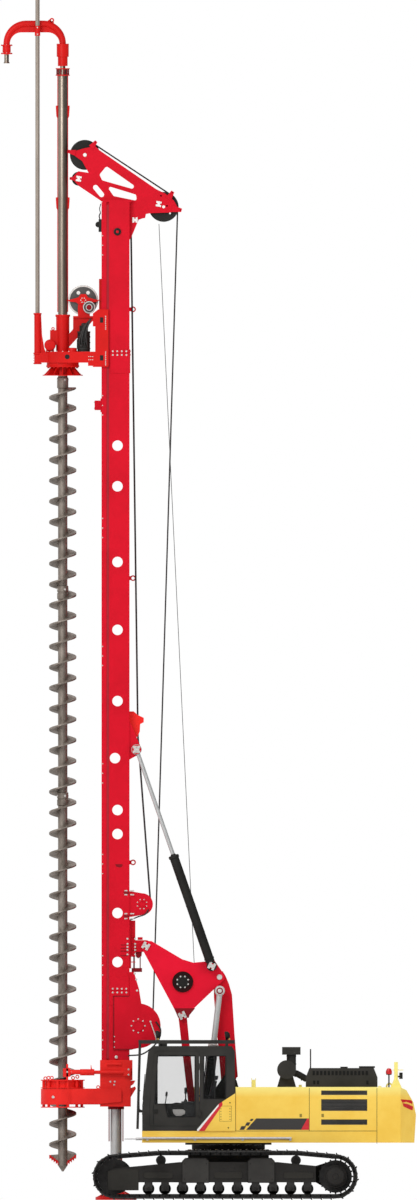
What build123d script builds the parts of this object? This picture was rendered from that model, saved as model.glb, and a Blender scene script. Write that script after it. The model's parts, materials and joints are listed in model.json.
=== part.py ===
"""Rotary piling rig on tracks: a fixed mast with a continuous flight auger.

Millimetres. +Z is up, the mast stands at the -X end, the cab is on the -Y side.
The origin lies on the ground in the middle of the machine's outline.
"""
from build123d import *
import math
import os

# ---------------------------------------------------------------- driving sizes
FIT = 0.3                # running fit of pins and bearings
CLEAR = 8.0              # open space beside a moving piece

# tracks
IDLER_X, SPROCKET_X = -1744.0, 2392.0
TRACK_R = 442.0          # over the grousers
GROUSER_H, SHOE_T, CHAIN_H = 22.0, 20.0, 70.0
TRACK_Y, SHOE_W, CHAIN_W = 1650.0, 700.0, 200.0
SHOE_COUNT = 56
SHOE_LAP = 12.0                       # how far a shoe reaches into the chain
SHOE_GAP, GROUSER_W, GROUSER_FOOT = 12.0, 16.0, 30.0
ROLLER_R, ROLLER_SHAFT_R, ROLLER_W = 99.0, 36.0, 250.0
ROLLER_X = (-1116, -806, -478, -141, 197, 553, 891, 1219, 1547, 1866)
CARRIER_R, CARRIER_X = 94.0, (-883.0, 1648.0)
TOP_RUN_Z = 838.0        # underside of the chain between the carrier rollers
FRAME_X0, FRAME_X1 = -1270.0, 2020.0
FRAME_Z0, FRAME_Z1, FRAME_HALF = 330.0, 640.0, 190.0
COVER_T = 20.0
COVERS = ((-488.0, 20.0), (744.0, 1252.0))              # each frame cover from X to X
COVER_Z0, COVER_Z1, COVER_CUT = 320.0, 790.0, 60.0
RIDGE_Z, RIDGE_X = 712.0, (-525.0, 1300.0)              # raised outer edge of the side frame

# carbody and slewing ring
SLEW_X = 382.0
CARBODY_HALF_X, CARBODY_HALF_Y = 760.0, 800.0
CARBODY_Z0, CARBODY_Z1 = 400.0, 937.0
BEAM_X, BEAM_HALF, BEAM_Z0, BEAM_Z1 = (20.0, 744.0), 170.0, 420.0, 700.0
RING_R, RING_BORE, RING_H = 685.0, 500.0, 98.0
FLANGE_R = 806.0

# upper frame, house and counterweight
HOUSE_HALF_Y = 1500.0
DECK_Z0, DECK_Z1 = 1074.0, 1294.0
DECK_X0, DECK_X1 = -420.0, 3167.0
CAB_FLOOR_X0, TANK_X0 = -1237.0, -700.0
BAY_HALF_Y = 480.0       # open bay for the boom between cab and tank
HOUSE_X0, HOUSE_X1, HOUSE_Z1 = 514.0, 3167.0, 2119.0
ENGINE_X0 = 1899.0
PANEL_T = 40.0
HOOD_X0, HOOD_X1, HOOD_Z1, HOOD_HALF_Y, HOOD_Y = 1832.0, 3178.0, 2475.0, 640.0, -500.0
HOOD_SLANT = (68.0, 175.0)                              # how far each upper end is cut back and down
CW_X1, CW_Z0, CW_Z1 = 3900.0, 1074.0, 2115.0
CW_CORNER = (290.0, 420.0)                              # cut of the rear corners along X and Y
CLEANER_X, CLEANER_Y, CLEANER_Z, CLEANER_R = 1474.0, -900.0, 2443.0, 178.0
CLEANER_FOOT, CLEANER_NECK = 178.0, 110.0               # half lengths of its stand, below and above
INTAKE_X, INTAKE_R, INTAKE_Z, INTAKE_BOX = 1562.0, 88.0, (2724.0, 2869.0), (173.0, 150.0)
VENTS = ((2053, 1969), (1890, 1671), (1511, 1410))      # top and bottom of each grille
VENT_X0, VENT_X1, VENT_DEPTH = 2122.0, 2985.0, 25.0

# cab
CAB_Y0, CAB_Y1 = -1500.0, -500.0
CAB_WALL = 50.0
CAB_Z1 = 2887.0
CAB_FRONT = ((-1234.0, DECK_Z1), (-1234.0, 1772.0), (-1125.0, 2770.0))
CAB_BACK = 505.0
DOOR_X0, DOOR_X1 = -1010.0, -165.0
DOOR_Z0, DOOR_Z1 = 1390.0, 2790.0
GLASS_T = 8.0

# boom linkage, each pin as X and Z
PIN_F = (397.0, 2237.0)      # boom foot
PIN_C = (216.0, 4179.0)      # boom head in the delta plates
PIN_D = (-482.0, 3461.0)     # link head in the delta plates
PIN_G = (PIN_F[0] + PIN_D[0] - PIN_C[0], PIN_F[1] + PIN_D[1] - PIN_C[1])
PIN_A = (-1166.0, 4762.0)    # mast hinge
PIN_B = (69.0, 4389.0)       # backstay foot
PIN_M = (-1339.0, 8447.0)    # backstay head on the mast
PIN_E = (221.0, 3922.0)      # lift cylinder head on the boom
PIN_H = (-49.0, 1594.0)      # lift cylinder foot
HUB = (-474.0, 4089.0)       # round boss of the delta plates
PIN_R, EYE_R = 52.0, 96.0
DELTA_Y0, DELTA_T = 180.0, 40.0
CYL_Y = 325.0                # both pairs of cylinders stand this far off centre
EYE_W = 90.0
STAY_BARREL_R, STAY_ROD_R, STAY_BARREL_LEN = 87.0, 38.0, 2190.0
LIFT_BARREL_R, LIFT_ROD_R, LIFT_BARREL_LEN = 90.0, 54.0, 1330.0
BARREL_WALL = 18.0
EYE_PLAY = 14.0              # play of the open rod eyes round their pins

# mast
MAST_X0, MAST_X1 = -1856.0, -1472.0
MAST_HALF, MAST_WALL = 300.0, 20.0
MAST_Z0, MAST_Z1 = 1751.0, 18712.0
JOINTS_Z = (3926.0, 15880.0)
RAIL_X0, RAIL_X1 = -1997.0, -1903.0
RAIL_Y0, RAIL_Y1, RAIL_WEB_Y1 = 190.0, 300.0, 262.0
HOLE_R = 98.0
HOLES = ((-1697, 14145), (-1697, 13382), (-1697, 11963), (-1697, 10690), (-1697, 9355),
         (-1744, 8285), (-1697, 7312), (-1697, 6862), (-1697, 5381), (-1697, 4462))

# mast head
HEAD_HALF, HEAD_T, HEAD_LIP = 150.0, 24.0, 120.0
HEAD_TIES, HEAD_TIE_R = ((-1800, 18770), (-2230, 19060), (-1250, 18560)), 40.0
SHEAVES = ((-2308.0, 19596.0, 281.0), (-832.0, 18621.0, 281.0))
SMALL_SHEAVE = (-2424.0, 19149.0, 131.0)
SHEAVE_W, SHEAVE_PIN_R = 80.0, 45.0

# winches
MAIN_WINCH = (-1309.0, 3266.0)
MAIN_WINCH_R = 420.0
AUX_WINCH = (-1237.0, 5548.0)
AUX_WINCH_R, AUX_WINCH_HALF = 204.0, 240.0
WINCH_CHEEK, WINCH_SHAFT_R, DRUM_R = 30.0, 60.0, 290.0

# auger string
AUGER_X = -2724.0
STEM_R, FLIGHT_R, PITCH, FLIGHT_T, FLIGHT_ROOT = 88.0, 256.0, 389.0, 28.0, 28.0
FLIGHT_Z0, FLIGHT_Z1 = 844.0, 15225.0
AUGER_TOP, AUGER_TIP = 15431.0, 534.0
AUGER_POINT_H, AUGER_POINT_R = 200.0, 14.0
DRIVE_R, DRIVE_Z1 = 90.0, 21081.0
COUPLING_R, COUPLING_H, COUPLING_RING = 132.0, 140.0, 18.0
SWIVEL_R, SWIVEL_H = 50.0, 41.0

# mast foot
GUIDE_BORE, GUIDE_R = 290.0, 410.0
GUIDE_Z0, GUIDE_Z1 = 1790.0, 2085.0
JACK_X, JACK_R, JACK_PAD_R, JACK_PAD_H = -1725.0, 104.0, 385.0, 50.0
JACK_TOP, JACK_GUIDE_T, JACK_GUIDES_Z = 2400.0, 60.0, (1760.0, 2200.0)

# rotary head
HEAD_Z0, SLEEVE_Z1, SLEEVE_R, COLLAR_R, COLLAR_H = 15456.0, 16600.0, 125.0, 138.0, 40.0
BEAM_TOP, BEAM_BOTTOM, ARM_X0, ARM_T, ARM_HALF = 15907.0, 15700.0, -2826.0, 40.0, 260.0
HOUSING_R, RING_PLATE_R, RING_PLATE_Z0 = 335.0, 300.0, 15620.0
SKIRT_R, SKIRT_NECK_R, SKIRT_T, SKIRT_FINS = 378.0, 150.0, 16.0, 12
CARRIAGE_X0, CARRIAGE_Z0, CARRIAGE_Z1, CARRIAGE_HALF = -2160.0, 15620.0, 16700.0, 360.0
RECESS_X, RECESS_Z = -2115.0, (15907.0, 16380.0)
CLAW_X1, CLAW_H = -1865.0, 220.0
TAIL_X, TAIL_HALF, TAIL_Z1 = (-2044.0, -1950.0), 60.0, 17270.0
CAP_Z, CAP_X0, CAP_T = 16575.0, -2530.0, 35.0           # deck under the head sheave
HEAD_SHEAVE = (-2340.0, 16871.0, 281.0)
STAND_X, STAND_Y, STAND_T = (-2440.0, -2215.0), 70.0, 24.0
MOTOR_X, MOTOR_Y, MOTOR_R, MOTOR_H = -2330.0, 200.0, 118.0, 380.0
PUMP_X, PUMP_Z, PUMP_R, PUMP_HALF = -2962.0, 16030.0, 105.0, 170.0
SOCKET_R, SOCKET_Z0, SOCKET_Z1 = 62.0, 15700.0, 16630.0
SOCKET_WEB_X, SOCKET_WEB_DROP = 200.0, 20.0                # where the web to the rod's socket ends
BRACE_X, BRACE_Z, BRACE_HALF, BRACE_LAP = -2590.0, (16010.0, 16180.0, 16330.0), 50.0, 60.0
CAP_BEAM_H = 90.0                                         # depth of the brace under the deck
PUMP_FOOT, PUMP_FOOT_HALF = 75.0, 120.0
VALVE_HALF, VALVE_Z1, VALVE_LAP = 80.0, 16310.0, 30.0
MOTOR_CAP_R, MOTOR_CAP_H = 80.0, 110.0
MOTOR_VALVE_X, MOTOR_VALVE_HALF, MOTOR_VALVE_Z = (-130.0, -40.0), 60.0, (60.0, 230.0)
FIN_EDGE, FIN_STEP, FIN_TOP, FIN_LAP = 6.0, (60.0, 50.0), 70.0, 20.0
STAND_EAR, STAND_EAR_Z, STAND_SHOULDER = 60.0, 70.0, 110.0
CARRIAGE_CHAMFER = (100.0, 80.0)
ROD_X, ROD_Y, ROD_R, ROD_TOP = -3197.0, -130.0, 40.0, 22800.0

# delivery pipe over the drive string
GOOSE_R, GOOSE_WALL, GOOSE_BEND, GOOSE_TOP, HOSE_X = 60.0, 12.0, 370.0, 22115.0, -3776.0
GOOSE_SLEEVES = ((92.0, 174.0), (114.0, 239.0))         # radius and length of each, upwards
HOSE_FLANGE_R, HOSE_FLANGE_T, HOSE_FLANGES = 108.0, 24.0, (21483.0, 21638.0)
HOSE_SLEEVE_R, NOZZLE_R, NOZZLE_LEN = 77.0, 43.0, 170.0
WEB_DEPTH, WEB_T = 163.0, 24.0
CLAMP_R, CLAMP_Z = 52.0, (21830.0, 22015.0)

os.makedirs("parts", exist_ok=True)


# ---------------------------------------------------------------- helpers
def block(x0, x1, y0, y1, z0, z1):
    """Box between two corners."""
    middle = Pos((x0 + x1) / 2, (y0 + y1) / 2, (z0 + z1) / 2)
    return middle * Box(x1 - x0, y1 - y0, z1 - z0)


def slab(face, y0, y1):
    """Face drawn in X and Z, raised from y0 to y1."""
    return Pos(0, y1, 0) * extrude(Plane.XZ * face, amount=y1 - y0, dir=(0, -1, 0))


def outline(*points):
    return Polygon(*points, align=None)


def plate(points, y0, y1):
    return slab(outline(*points), y0, y1)


def disc(centre, r, y0, y1):
    """Cylinder along Y round a point in X and Z."""
    return slab(Pos(*centre) * Circle(r), y0, y1)


def post(x, y, r, z0, z1):
    """Cylinder along Z."""
    return Pos(x, y, (z0 + z1) / 2) * Cylinder(r, z1 - z0)


def bar(start, end, r):
    """Cylinder between two points."""
    a, b = Vector(*start), Vector(*end)
    return Plane(origin=a, z_dir=b - a) * Pos(0, 0, (b - a).length / 2) * Cylinder(r, (b - a).length)


def other_side(shape):
    return mirror(shape, about=Plane.XZ)


def both(shape):
    return [shape, other_side(shape)]


def fuse(shapes):
    whole = shapes[0]
    for shape in shapes[1:]:
        whole = whole + shape
    return whole


def save(name, *shapes):
    solids = [s for shape in shapes for s in shape.solids()]
    export_step(Compound(children=solids), f"parts/{name}.step")


# ---------------------------------------------------------------- tracks
CHAIN_R = TRACK_R - GROUSER_H - SHOE_T - CHAIN_H      # inside of the chain
CARRIER_Z = TOP_RUN_Z - CARRIER_R


def belt_pieces():
    """Straight and round pieces of the chain's inside line, clockwise from the idler."""
    wheels = ((IDLER_X, TRACK_R, CHAIN_R), (CARRIER_X[0], CARRIER_Z, CARRIER_R),
              (CARRIER_X[1], CARRIER_Z, CARRIER_R), (SPROCKET_X, TRACK_R, CHAIN_R))
    normals = []
    for i, (x, z, r) in enumerate(wheels):
        x2, z2, r2 = wheels[(i + 1) % len(wheels)]
        length = math.hypot(x2 - x, z2 - z)
        lean = math.asin((r - r2) / length)
        normals.append(math.atan2(z2 - z, x2 - x) + math.pi / 2 - lean)
    pieces = []
    for i, (x, z, r) in enumerate(wheels):
        turn = (normals[i - 1] - normals[i]) % (2 * math.pi)
        pieces.append(("arc", x, z, r, normals[i - 1], turn))
        x2, z2, r2 = wheels[(i + 1) % len(wheels)]
        n = normals[i]
        start = (x + r * math.cos(n), z + r * math.sin(n))
        end = (x2 + r2 * math.cos(n), z2 + r2 * math.sin(n))
        pieces.append(("line", start, end, n))
    return pieces


def belt_point(pieces, way, height):
    """Point on the belt after a way along the chain's inside, at a height over it."""
    total = belt_length(pieces)
    way = way % total
    for piece in pieces:
        if piece[0] == "arc":
            x, z, r, angle, turn = piece[1:]
            if way <= r * turn:
                a = angle - way / r
                return (x + (r + height) * math.cos(a), z + (r + height) * math.sin(a))
            way -= r * turn
        else:
            start, end, n = piece[1:]
            length = math.dist(start, end)
            if way <= length:
                t = way / length
                x = start[0] + t * (end[0] - start[0]) + height * math.cos(n)
                z = start[1] + t * (end[1] - start[1]) + height * math.sin(n)
                return (x, z)
            way -= length
    return belt_point(pieces, 0, height)


def belt_length(pieces):
    total = 0
    for piece in pieces:
        total += piece[3] * piece[5] if piece[0] == "arc" else math.dist(piece[1], piece[2])
    return total


def belt_face(pieces, height):
    """Smooth closed face of the belt at a height over the chain's inside."""
    edges = []
    for piece in pieces:
        if piece[0] == "arc":
            x, z, r, angle, turn = piece[1:]
            if r * turn < 1:
                continue
            spots = [angle - turn * share for share in (0, 0.5, 1)]
            points = [(x + (r + height) * math.cos(a), z + (r + height) * math.sin(a)) for a in spots]
            edges.append(ThreePointArc(*points))
        else:
            start, end, n = piece[1:]
            shift = (height * math.cos(n), height * math.sin(n))
            ends = [(p[0] + shift[0], p[1] + shift[1]) for p in (start, end)]
            edges.append(Line(*ends))
    return make_face(edges)


def track():
    pieces = belt_pieces()
    pitch = belt_length(pieces) / SHOE_COUNT
    shoe_top = CHAIN_H + SHOE_T
    tip = shoe_top + GROUSER_H
    steps = ((0, CHAIN_H), (0, tip), (GROUSER_W, tip), (GROUSER_FOOT, shoe_top),
             (pitch - SHOE_GAP, shoe_top), (pitch - SHOE_GAP, CHAIN_H))
    points = []
    for shoe in range(SHOE_COUNT):
        for along, height in steps:
            points.append(belt_point(pieces, shoe * pitch + along, height))
    shoes = slab(outline(*points) - belt_face(pieces, CHAIN_H - SHOE_LAP),
                 TRACK_Y - SHOE_W / 2, TRACK_Y + SHOE_W / 2)
    ring = belt_face(pieces, CHAIN_H) - belt_face(pieces, 0)
    chain = slab(ring, TRACK_Y - CHAIN_W / 2, TRACK_Y + CHAIN_W / 2)
    return shoes + chain


def idler():
    wheel = disc((IDLER_X, TRACK_R), CHAIN_R - FIT, TRACK_Y - 70, TRACK_Y + 70)
    hub = disc((IDLER_X, TRACK_R), 110, TRACK_Y - 140, TRACK_Y + 140)
    return wheel + hub + disc((IDLER_X, TRACK_R), 50, TRACK_Y - 185, TRACK_Y + 185)


def sprocket():
    centre = (SPROCKET_X, TRACK_R)
    disc_part = disc(centre, CHAIN_R - 24, TRACK_Y - 45, TRACK_Y + 45)
    teeth = [disc_part]
    for i in range(20):
        tooth = Pos(*centre) * Rot(0, 0, i * 18) * outline((CHAIN_R - 40, -26), (CHAIN_R - FIT, -10),
                                                          (CHAIN_R - FIT, 10), (CHAIN_R - 40, 26))
        teeth.append(slab(tooth, TRACK_Y - 45, TRACK_Y + 45))
    hub = disc(centre, 215, TRACK_Y - 170, TRACK_Y + 170) + disc(centre, 174, TRACK_Y, TRACK_Y + 230)
    return fuse(teeth) + hub


def roller(x):
    z = TRACK_R - CHAIN_R + ROLLER_R + FIT
    body = disc((x, z), ROLLER_R, TRACK_Y - ROLLER_W / 2, TRACK_Y + ROLLER_W / 2)
    body = body + disc((x, z), ROLLER_SHAFT_R, TRACK_Y - FRAME_HALF, TRACK_Y + FRAME_HALF)
    for side in (-1, 1):
        y = TRACK_Y + side * (FRAME_HALF - 20)
        body = body + block(x - 75, x + 75, y - 20, y + 20, z - 45, FRAME_Z0)
    return body


def carrier(x):
    top = disc((x, CARRIER_Z - FIT), CARRIER_R, TRACK_Y - 90, TRACK_Y + 90)
    foot = block(x - 60, x + 60, TRACK_Y - 150, TRACK_Y - 110, FRAME_Z1, CARRIER_Z + 50)
    return top + disc((x, CARRIER_Z - FIT), 36, TRACK_Y - 150, TRACK_Y + 100) + foot


def side_frame():
    y0, y1 = TRACK_Y - FRAME_HALF, TRACK_Y + FRAME_HALF
    beam = block(FRAME_X0, FRAME_X1, y0, y1, FRAME_Z0, FRAME_Z1)
    ridge = ((FRAME_X0, FRAME_Z1), (RIDGE_X[0], RIDGE_Z), (RIDGE_X[1], RIDGE_Z), (FRAME_X1, FRAME_Z1))
    beam = beam + plate(ridge, y1 - COVER_T, y1)
    for x0, x1 in COVERS:
        cover = ((x0, COVER_Z0), (x0, COVER_Z1 - COVER_CUT), (x0 + COVER_CUT, COVER_Z1),
                 (x1 - COVER_CUT, COVER_Z1), (x1, COVER_Z1 - COVER_CUT), (x1, COVER_Z0))
        beam = beam + plate(cover, y1, y1 + COVER_T)
    fork = ((FRAME_X0, FRAME_Z0), (FRAME_X0, FRAME_Z1), (IDLER_X - 60, TRACK_R + 150),
            (IDLER_X - 150, TRACK_R), (IDLER_X - 60, TRACK_R - 150))
    for side in (-1, 1):
        y = TRACK_Y + side * (FRAME_HALF - 20)
        beam = beam + plate(fork, y - 20, y + 20)
    beam = beam - disc((IDLER_X, TRACK_R), 50 + FIT, y0 - 1, y1 + 1)
    cheek = ((FRAME_X1, FRAME_Z0), (FRAME_X1, FRAME_Z1), (SPROCKET_X - 40, TRACK_R + 300),
             (SPROCKET_X + 240, TRACK_R + 120), (SPROCKET_X + 240, TRACK_R - 120),
             (SPROCKET_X - 40, TRACK_R - 300))
    motor = plate(cheek, y0, y0 + 20 - FIT)
    return beam + motor


def undercarriage():
    save("tracks", *both(track()))
    save("idler_wheels", *both(idler()))
    save("drive_sprockets", *both(sprocket()))
    rollers = [roller(x) for x in ROLLER_X] + [carrier(x) for x in CARRIER_X]
    save("track_rollers", *rollers, *[other_side(r) for r in rollers])
    save("side_frames", *both(side_frame()))
    body = block(SLEW_X - CARBODY_HALF_X, SLEW_X + CARBODY_HALF_X, -CARBODY_HALF_Y, CARBODY_HALF_Y,
                 CARBODY_Z0, CARBODY_Z1 - 100)
    body = body + post(SLEW_X, 0, FLANGE_R, CARBODY_Z1 - 100, CARBODY_Z1)
    inner = TRACK_Y - FRAME_HALF
    for x in BEAM_X:
        body = body + block(x - BEAM_HALF, x + BEAM_HALF, -inner, inner, BEAM_Z0, BEAM_Z1)
    save("carbody", body)
    ring = post(SLEW_X, 0, RING_R, CARBODY_Z1, CARBODY_Z1 + RING_H - FIT)
    save("slewing_ring", ring - post(SLEW_X, 0, RING_BORE, CARBODY_Z1 - 1, CARBODY_Z1 + RING_H + 1))


# ---------------------------------------------------------------- upper frame and house
def deck():
    body = block(DECK_X0, DECK_X1, -HOUSE_HALF_Y, HOUSE_HALF_Y, DECK_Z0, DECK_Z1)
    body = body + block(CAB_FLOOR_X0, DECK_X0, -HOUSE_HALF_Y, -BAY_HALF_Y, DECK_Z0, DECK_Z1)
    body = body + block(TANK_X0, DECK_X0, BAY_HALF_Y, HOUSE_HALF_Y, DECK_Z0, DECK_Z1)
    body = body + post(SLEW_X, 0, FLANGE_R, CARBODY_Z1 + RING_H, DECK_Z0)
    return body


def linkage_stand():
    """Plates on the deck that carry the feet of boom, link and lift cylinders."""
    side = ((PIN_G[0] - 130, DECK_Z1), (PIN_G[0] - 130, PIN_G[1] + 60), (PIN_G[0] - 60, PIN_G[1] + 130),
            (PIN_G[0] + 120, PIN_G[1] + 150), (PIN_F[0] - 130, PIN_F[1] + 40),
            (PIN_F[0] - 60, PIN_F[1] + 130),
            (PIN_F[0] + 60, PIN_F[1] + 130), (PIN_F[0] + 140, PIN_F[1]), (PIN_F[0] + 420, DECK_Z1))
    inner = plate(side, DELTA_Y0, DELTA_Y0 + DELTA_T)
    for pin in (PIN_F, PIN_G, PIN_H):
        inner = inner - disc(pin, PIN_R + FIT, DELTA_Y0 - 1, DELTA_Y0 + DELTA_T + 1)
    outer_y = STAND_OUTER_Y
    x, z = PIN_H
    outer = plate(((x - 190, DECK_Z1), (x - 100, z + 40), (x - 50, z + 110), (x + 50, z + 110),
                   (x + 100, z + 40), (x + 190, DECK_Z1)), outer_y, outer_y + DELTA_T)
    outer = outer - disc(PIN_H, PIN_R + FIT, outer_y - 1, outer_y + DELTA_T + 1)
    return both(inner) + both(outer)


def engine_house():
    """Hollow engine bay with grilles, and the lower cover in front of it."""
    shell = block(ENGINE_X0, HOUSE_X1, -HOUSE_HALF_Y, HOUSE_HALF_Y, DECK_Z1, HOUSE_Z1)
    room = block(ENGINE_X0 + PANEL_T, HOUSE_X1 - PANEL_T, -HOUSE_HALF_Y + PANEL_T, HOUSE_HALF_Y - PANEL_T,
                 DECK_Z1, HOUSE_Z1 - PANEL_T)
    shell = shell - room
    for top, bottom in VENTS:
        for side in (-1, 1):
            y = side * HOUSE_HALF_Y
            shell = shell - block(VENT_X0, VENT_X1, y - VENT_DEPTH, y + VENT_DEPTH, bottom, top)
    return shell


def house():
    save("deck", deck())
    save("linkage_stand", *linkage_stand())
    save("engine_house", engine_house())
    locker = block(HOUSE_X0, ENGINE_X0, -HOUSE_HALF_Y, -BAY_HALF_Y, DECK_Z1, HOUSE_Z1)
    save("side_locker", locker)
    tank = block(TANK_X0 + 350, ENGINE_X0, BAY_HALF_Y, HOUSE_HALF_Y, DECK_Z1, HOUSE_Z1)
    tank = tank + block(TANK_X0, TANK_X0 + 350, BAY_HALF_Y, HOUSE_HALF_Y, DECK_Z1, 1620)
    save("fuel_and_oil_tanks", tank)
    save("valve_cover", block(PIN_F[0] + 520, ENGINE_X0, -BAY_HALF_Y, BAY_HALF_Y, DECK_Z1, 1800))
    save("engine", block(ENGINE_X0 + 180, HOUSE_X1 - 180, -800, 700, DECK_Z1, HOUSE_Z1 - 180))
    back, down = HOOD_SLANT
    hood = ((HOOD_X0, HOUSE_Z1), (HOOD_X0, HOOD_Z1 - down), (HOOD_X0 + back, HOOD_Z1),
            (HOOD_X1 - back, HOOD_Z1), (HOOD_X1, HOOD_Z1 - down), (HOOD_X1, HOUSE_Z1))
    save("engine_hood", plate(hood, HOOD_Y - HOOD_HALF_Y, HOOD_Y + HOOD_HALF_Y))
    save("counterweight", counterweight())
    save("air_cleaner", air_cleaner())


def counterweight():
    """Cast weight: sloped at the rear top, its two rear corners cut off."""
    x, half = HOUSE_X1, HOUSE_HALF_Y
    side = ((x, CW_Z0), (x, CW_Z1), (CW_X1 - 290, CW_Z1), (CW_X1 - 180, CW_Z1 - 55),
            (CW_X1 - 50, CW_Z1 - 285), (CW_X1, CW_Z1 - 515), (CW_X1 - 32, CW_Z0))
    along, across = CW_CORNER
    plan = outline((x, -half), (CW_X1 - along, -half), (CW_X1, across - half), (CW_X1, half - across),
                   (CW_X1 - along, half), (x, half))
    return plate(side, -half, half) & (Pos(0, 0, CW_Z0) * extrude(plan, amount=CW_Z1 - CW_Z0, dir=(0, 0, 1)))


def air_cleaner():
    """Drum on a tapered stand, with the intake box over it."""
    x, y, half = CLEANER_X, CLEANER_Y, INTAKE_BOX[1]
    drum = disc((x, CLEANER_Z), CLEANER_R, y - 2 * half, y + 2 * half)
    stand = plate(((x - CLEANER_FOOT, HOUSE_Z1), (x - CLEANER_NECK, CLEANER_Z - CLEANER_R / 2),
                   (x + CLEANER_NECK, CLEANER_Z - CLEANER_R / 2), (x + CLEANER_FOOT, HOUSE_Z1)),
                  y - half, y + half)
    box_z0, box_z1 = INTAKE_Z
    stack = post(INTAKE_X, y, INTAKE_R, CLEANER_Z, box_z0)
    hood = block(INTAKE_X - INTAKE_BOX[0], INTAKE_X + INTAKE_BOX[0], y - half, y + half, box_z0, box_z1)
    return drum + stand + stack + hood


# ---------------------------------------------------------------- cab
def cab_profile(inset):
    """Side outline of the cab, drawn in by a wall thickness."""
    (x0, z0), (x1, z1), (x2, z2) = CAB_FRONT
    return outline((x0 + inset, z0 + inset), (x1 + inset, z1), (x2 + inset, z2 - inset / 2),
                   (x2 + inset + 90, CAB_Z1 - inset), (CAB_BACK - inset - 60, CAB_Z1 - inset),
                   (CAB_BACK - inset, CAB_Z1 - inset - 100), (CAB_BACK - inset, z0 + inset))


def door_profile(inset):
    return outline((DOOR_X0 - 80 + inset, DOOR_Z0 + inset), (DOOR_X0 - 80 + inset, 1780),
                   (DOOR_X0 + inset, DOOR_Z1 - 60), (DOOR_X0 + 60 + inset, DOOR_Z1 - inset),
                   (DOOR_X1 - inset, DOOR_Z1 - inset), (DOOR_X1 - inset, DOOR_Z0 + inset))


WINDOW_X0, WINDOW_X1, WINDOW_Z0, WINDOW_Z1 = -80.0, 330.0, 1900.0, 2700.0
FRONT_Z0, FRONT_Z1, FRONT_Y_EDGE = 1450.0, 2640.0, 110.0


def side_window(y0, y1, grow):
    return block(WINDOW_X0 - grow, WINDOW_X1 + grow, y0, y1, WINDOW_Z0 - grow, WINDOW_Z1 + grow)


HINGE_X, HINGE_Y, HINGE_Z, HINGE_R = -150.0, CAB_Y0 - 24.0, (1560.0, 2440.0), 20.0


def door_hinge_posts():
    """Hinge pins on the cab side, each between two lugs."""
    posts = []
    for z in HINGE_Z:
        for z0 in (z, z + 92):
            lug = block(HINGE_X, HINGE_X + 40, HINGE_Y - HINGE_R / 2, CAB_Y0, z0, z0 + 28)
            posts.append(lug + post(HINGE_X, HINGE_Y, HINGE_R, z0, z0 + 28))
        posts.append(post(HINGE_X, HINGE_Y, HINGE_R / 2, z, z + 120))
    return posts


def door_hinge_leaves():
    leaves = []
    for z in HINGE_Z:
        leaf = block(DOOR_X1 - 40, HINGE_X, HINGE_Y - HINGE_R / 2, CAB_Y0, z + 30, z + 90)
        leaf = leaf + post(HINGE_X, HINGE_Y, HINGE_R, z + 30, z + 90)
        leaves.append(leaf - post(HINGE_X, HINGE_Y, HINGE_R / 2 + FIT, z + 29, z + 91))
    return leaves


def cab_shell():
    shell = slab(cab_profile(0), CAB_Y0, CAB_Y1)
    shell = shell - slab(cab_profile(CAB_WALL), CAB_Y0 + CAB_WALL, CAB_Y1 - CAB_WALL)
    shell = shell - slab(door_profile(-5), CAB_Y0 - 1, CAB_Y0 + CAB_WALL + 1)
    shell = shell - side_window(CAB_Y0 - 1, CAB_Y0 + CAB_WALL + 1, 0)
    right = block(-950, 330, CAB_Y1 - CAB_WALL - 1, CAB_Y1 + 1, 1800, WINDOW_Z1)
    shell = shell - right
    front = block(-1300, -1020, CAB_Y0 + FRONT_Y_EDGE, CAB_Y1 - FRONT_Y_EDGE, FRONT_Z0, FRONT_Z1)
    back = block(CAB_BACK - CAB_WALL - 1, CAB_BACK + 1, CAB_Y0 + FRONT_Y_EDGE, CAB_Y1 - FRONT_Y_EDGE,
                 2150, FRONT_Z1)
    return shell - front - back + fuse(door_hinge_posts())


def cab_glass():
    panes = [side_window(CAB_Y0 + 20, CAB_Y0 + 20 + GLASS_T, 0),
             block(-950, 330, CAB_Y1 - 20 - GLASS_T, CAB_Y1 - 20, 1800, WINDOW_Z1),
             block(CAB_BACK - 20 - GLASS_T, CAB_BACK - 20, CAB_Y0 + FRONT_Y_EDGE, CAB_Y1 - FRONT_Y_EDGE,
                   2150, FRONT_Z1)]
    sheet = slab(cab_profile(20), CAB_Y0 + FRONT_Y_EDGE, CAB_Y1 - FRONT_Y_EDGE)
    sheet = sheet - slab(cab_profile(20 + GLASS_T), CAB_Y0, CAB_Y1)
    panes.append(sheet & block(-1300, -1020, CAB_Y0, CAB_Y1, FRONT_Z0, FRONT_Z1))
    return panes


def cab_door():
    door = slab(door_profile(0), CAB_Y0, CAB_Y0 + CAB_WALL)
    opening = outline((DOOR_X0 + 10, 1800), (DOOR_X0 + 70, DOOR_Z1 - 80), (DOOR_X1 - 80, DOOR_Z1 - 80),
                      (DOOR_X1 - 80, 1560), (DOOR_X0 + 260, 1560), (DOOR_X0 + 200, 1800))
    door = door - slab(opening, CAB_Y0 - 1, CAB_Y0 + CAB_WALL + 1)
    save("cab_door", door + fuse(door_hinge_leaves()))
    save("door_glass", slab(opening, CAB_Y0 + 20, CAB_Y0 + 20 + GLASS_T))


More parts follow.
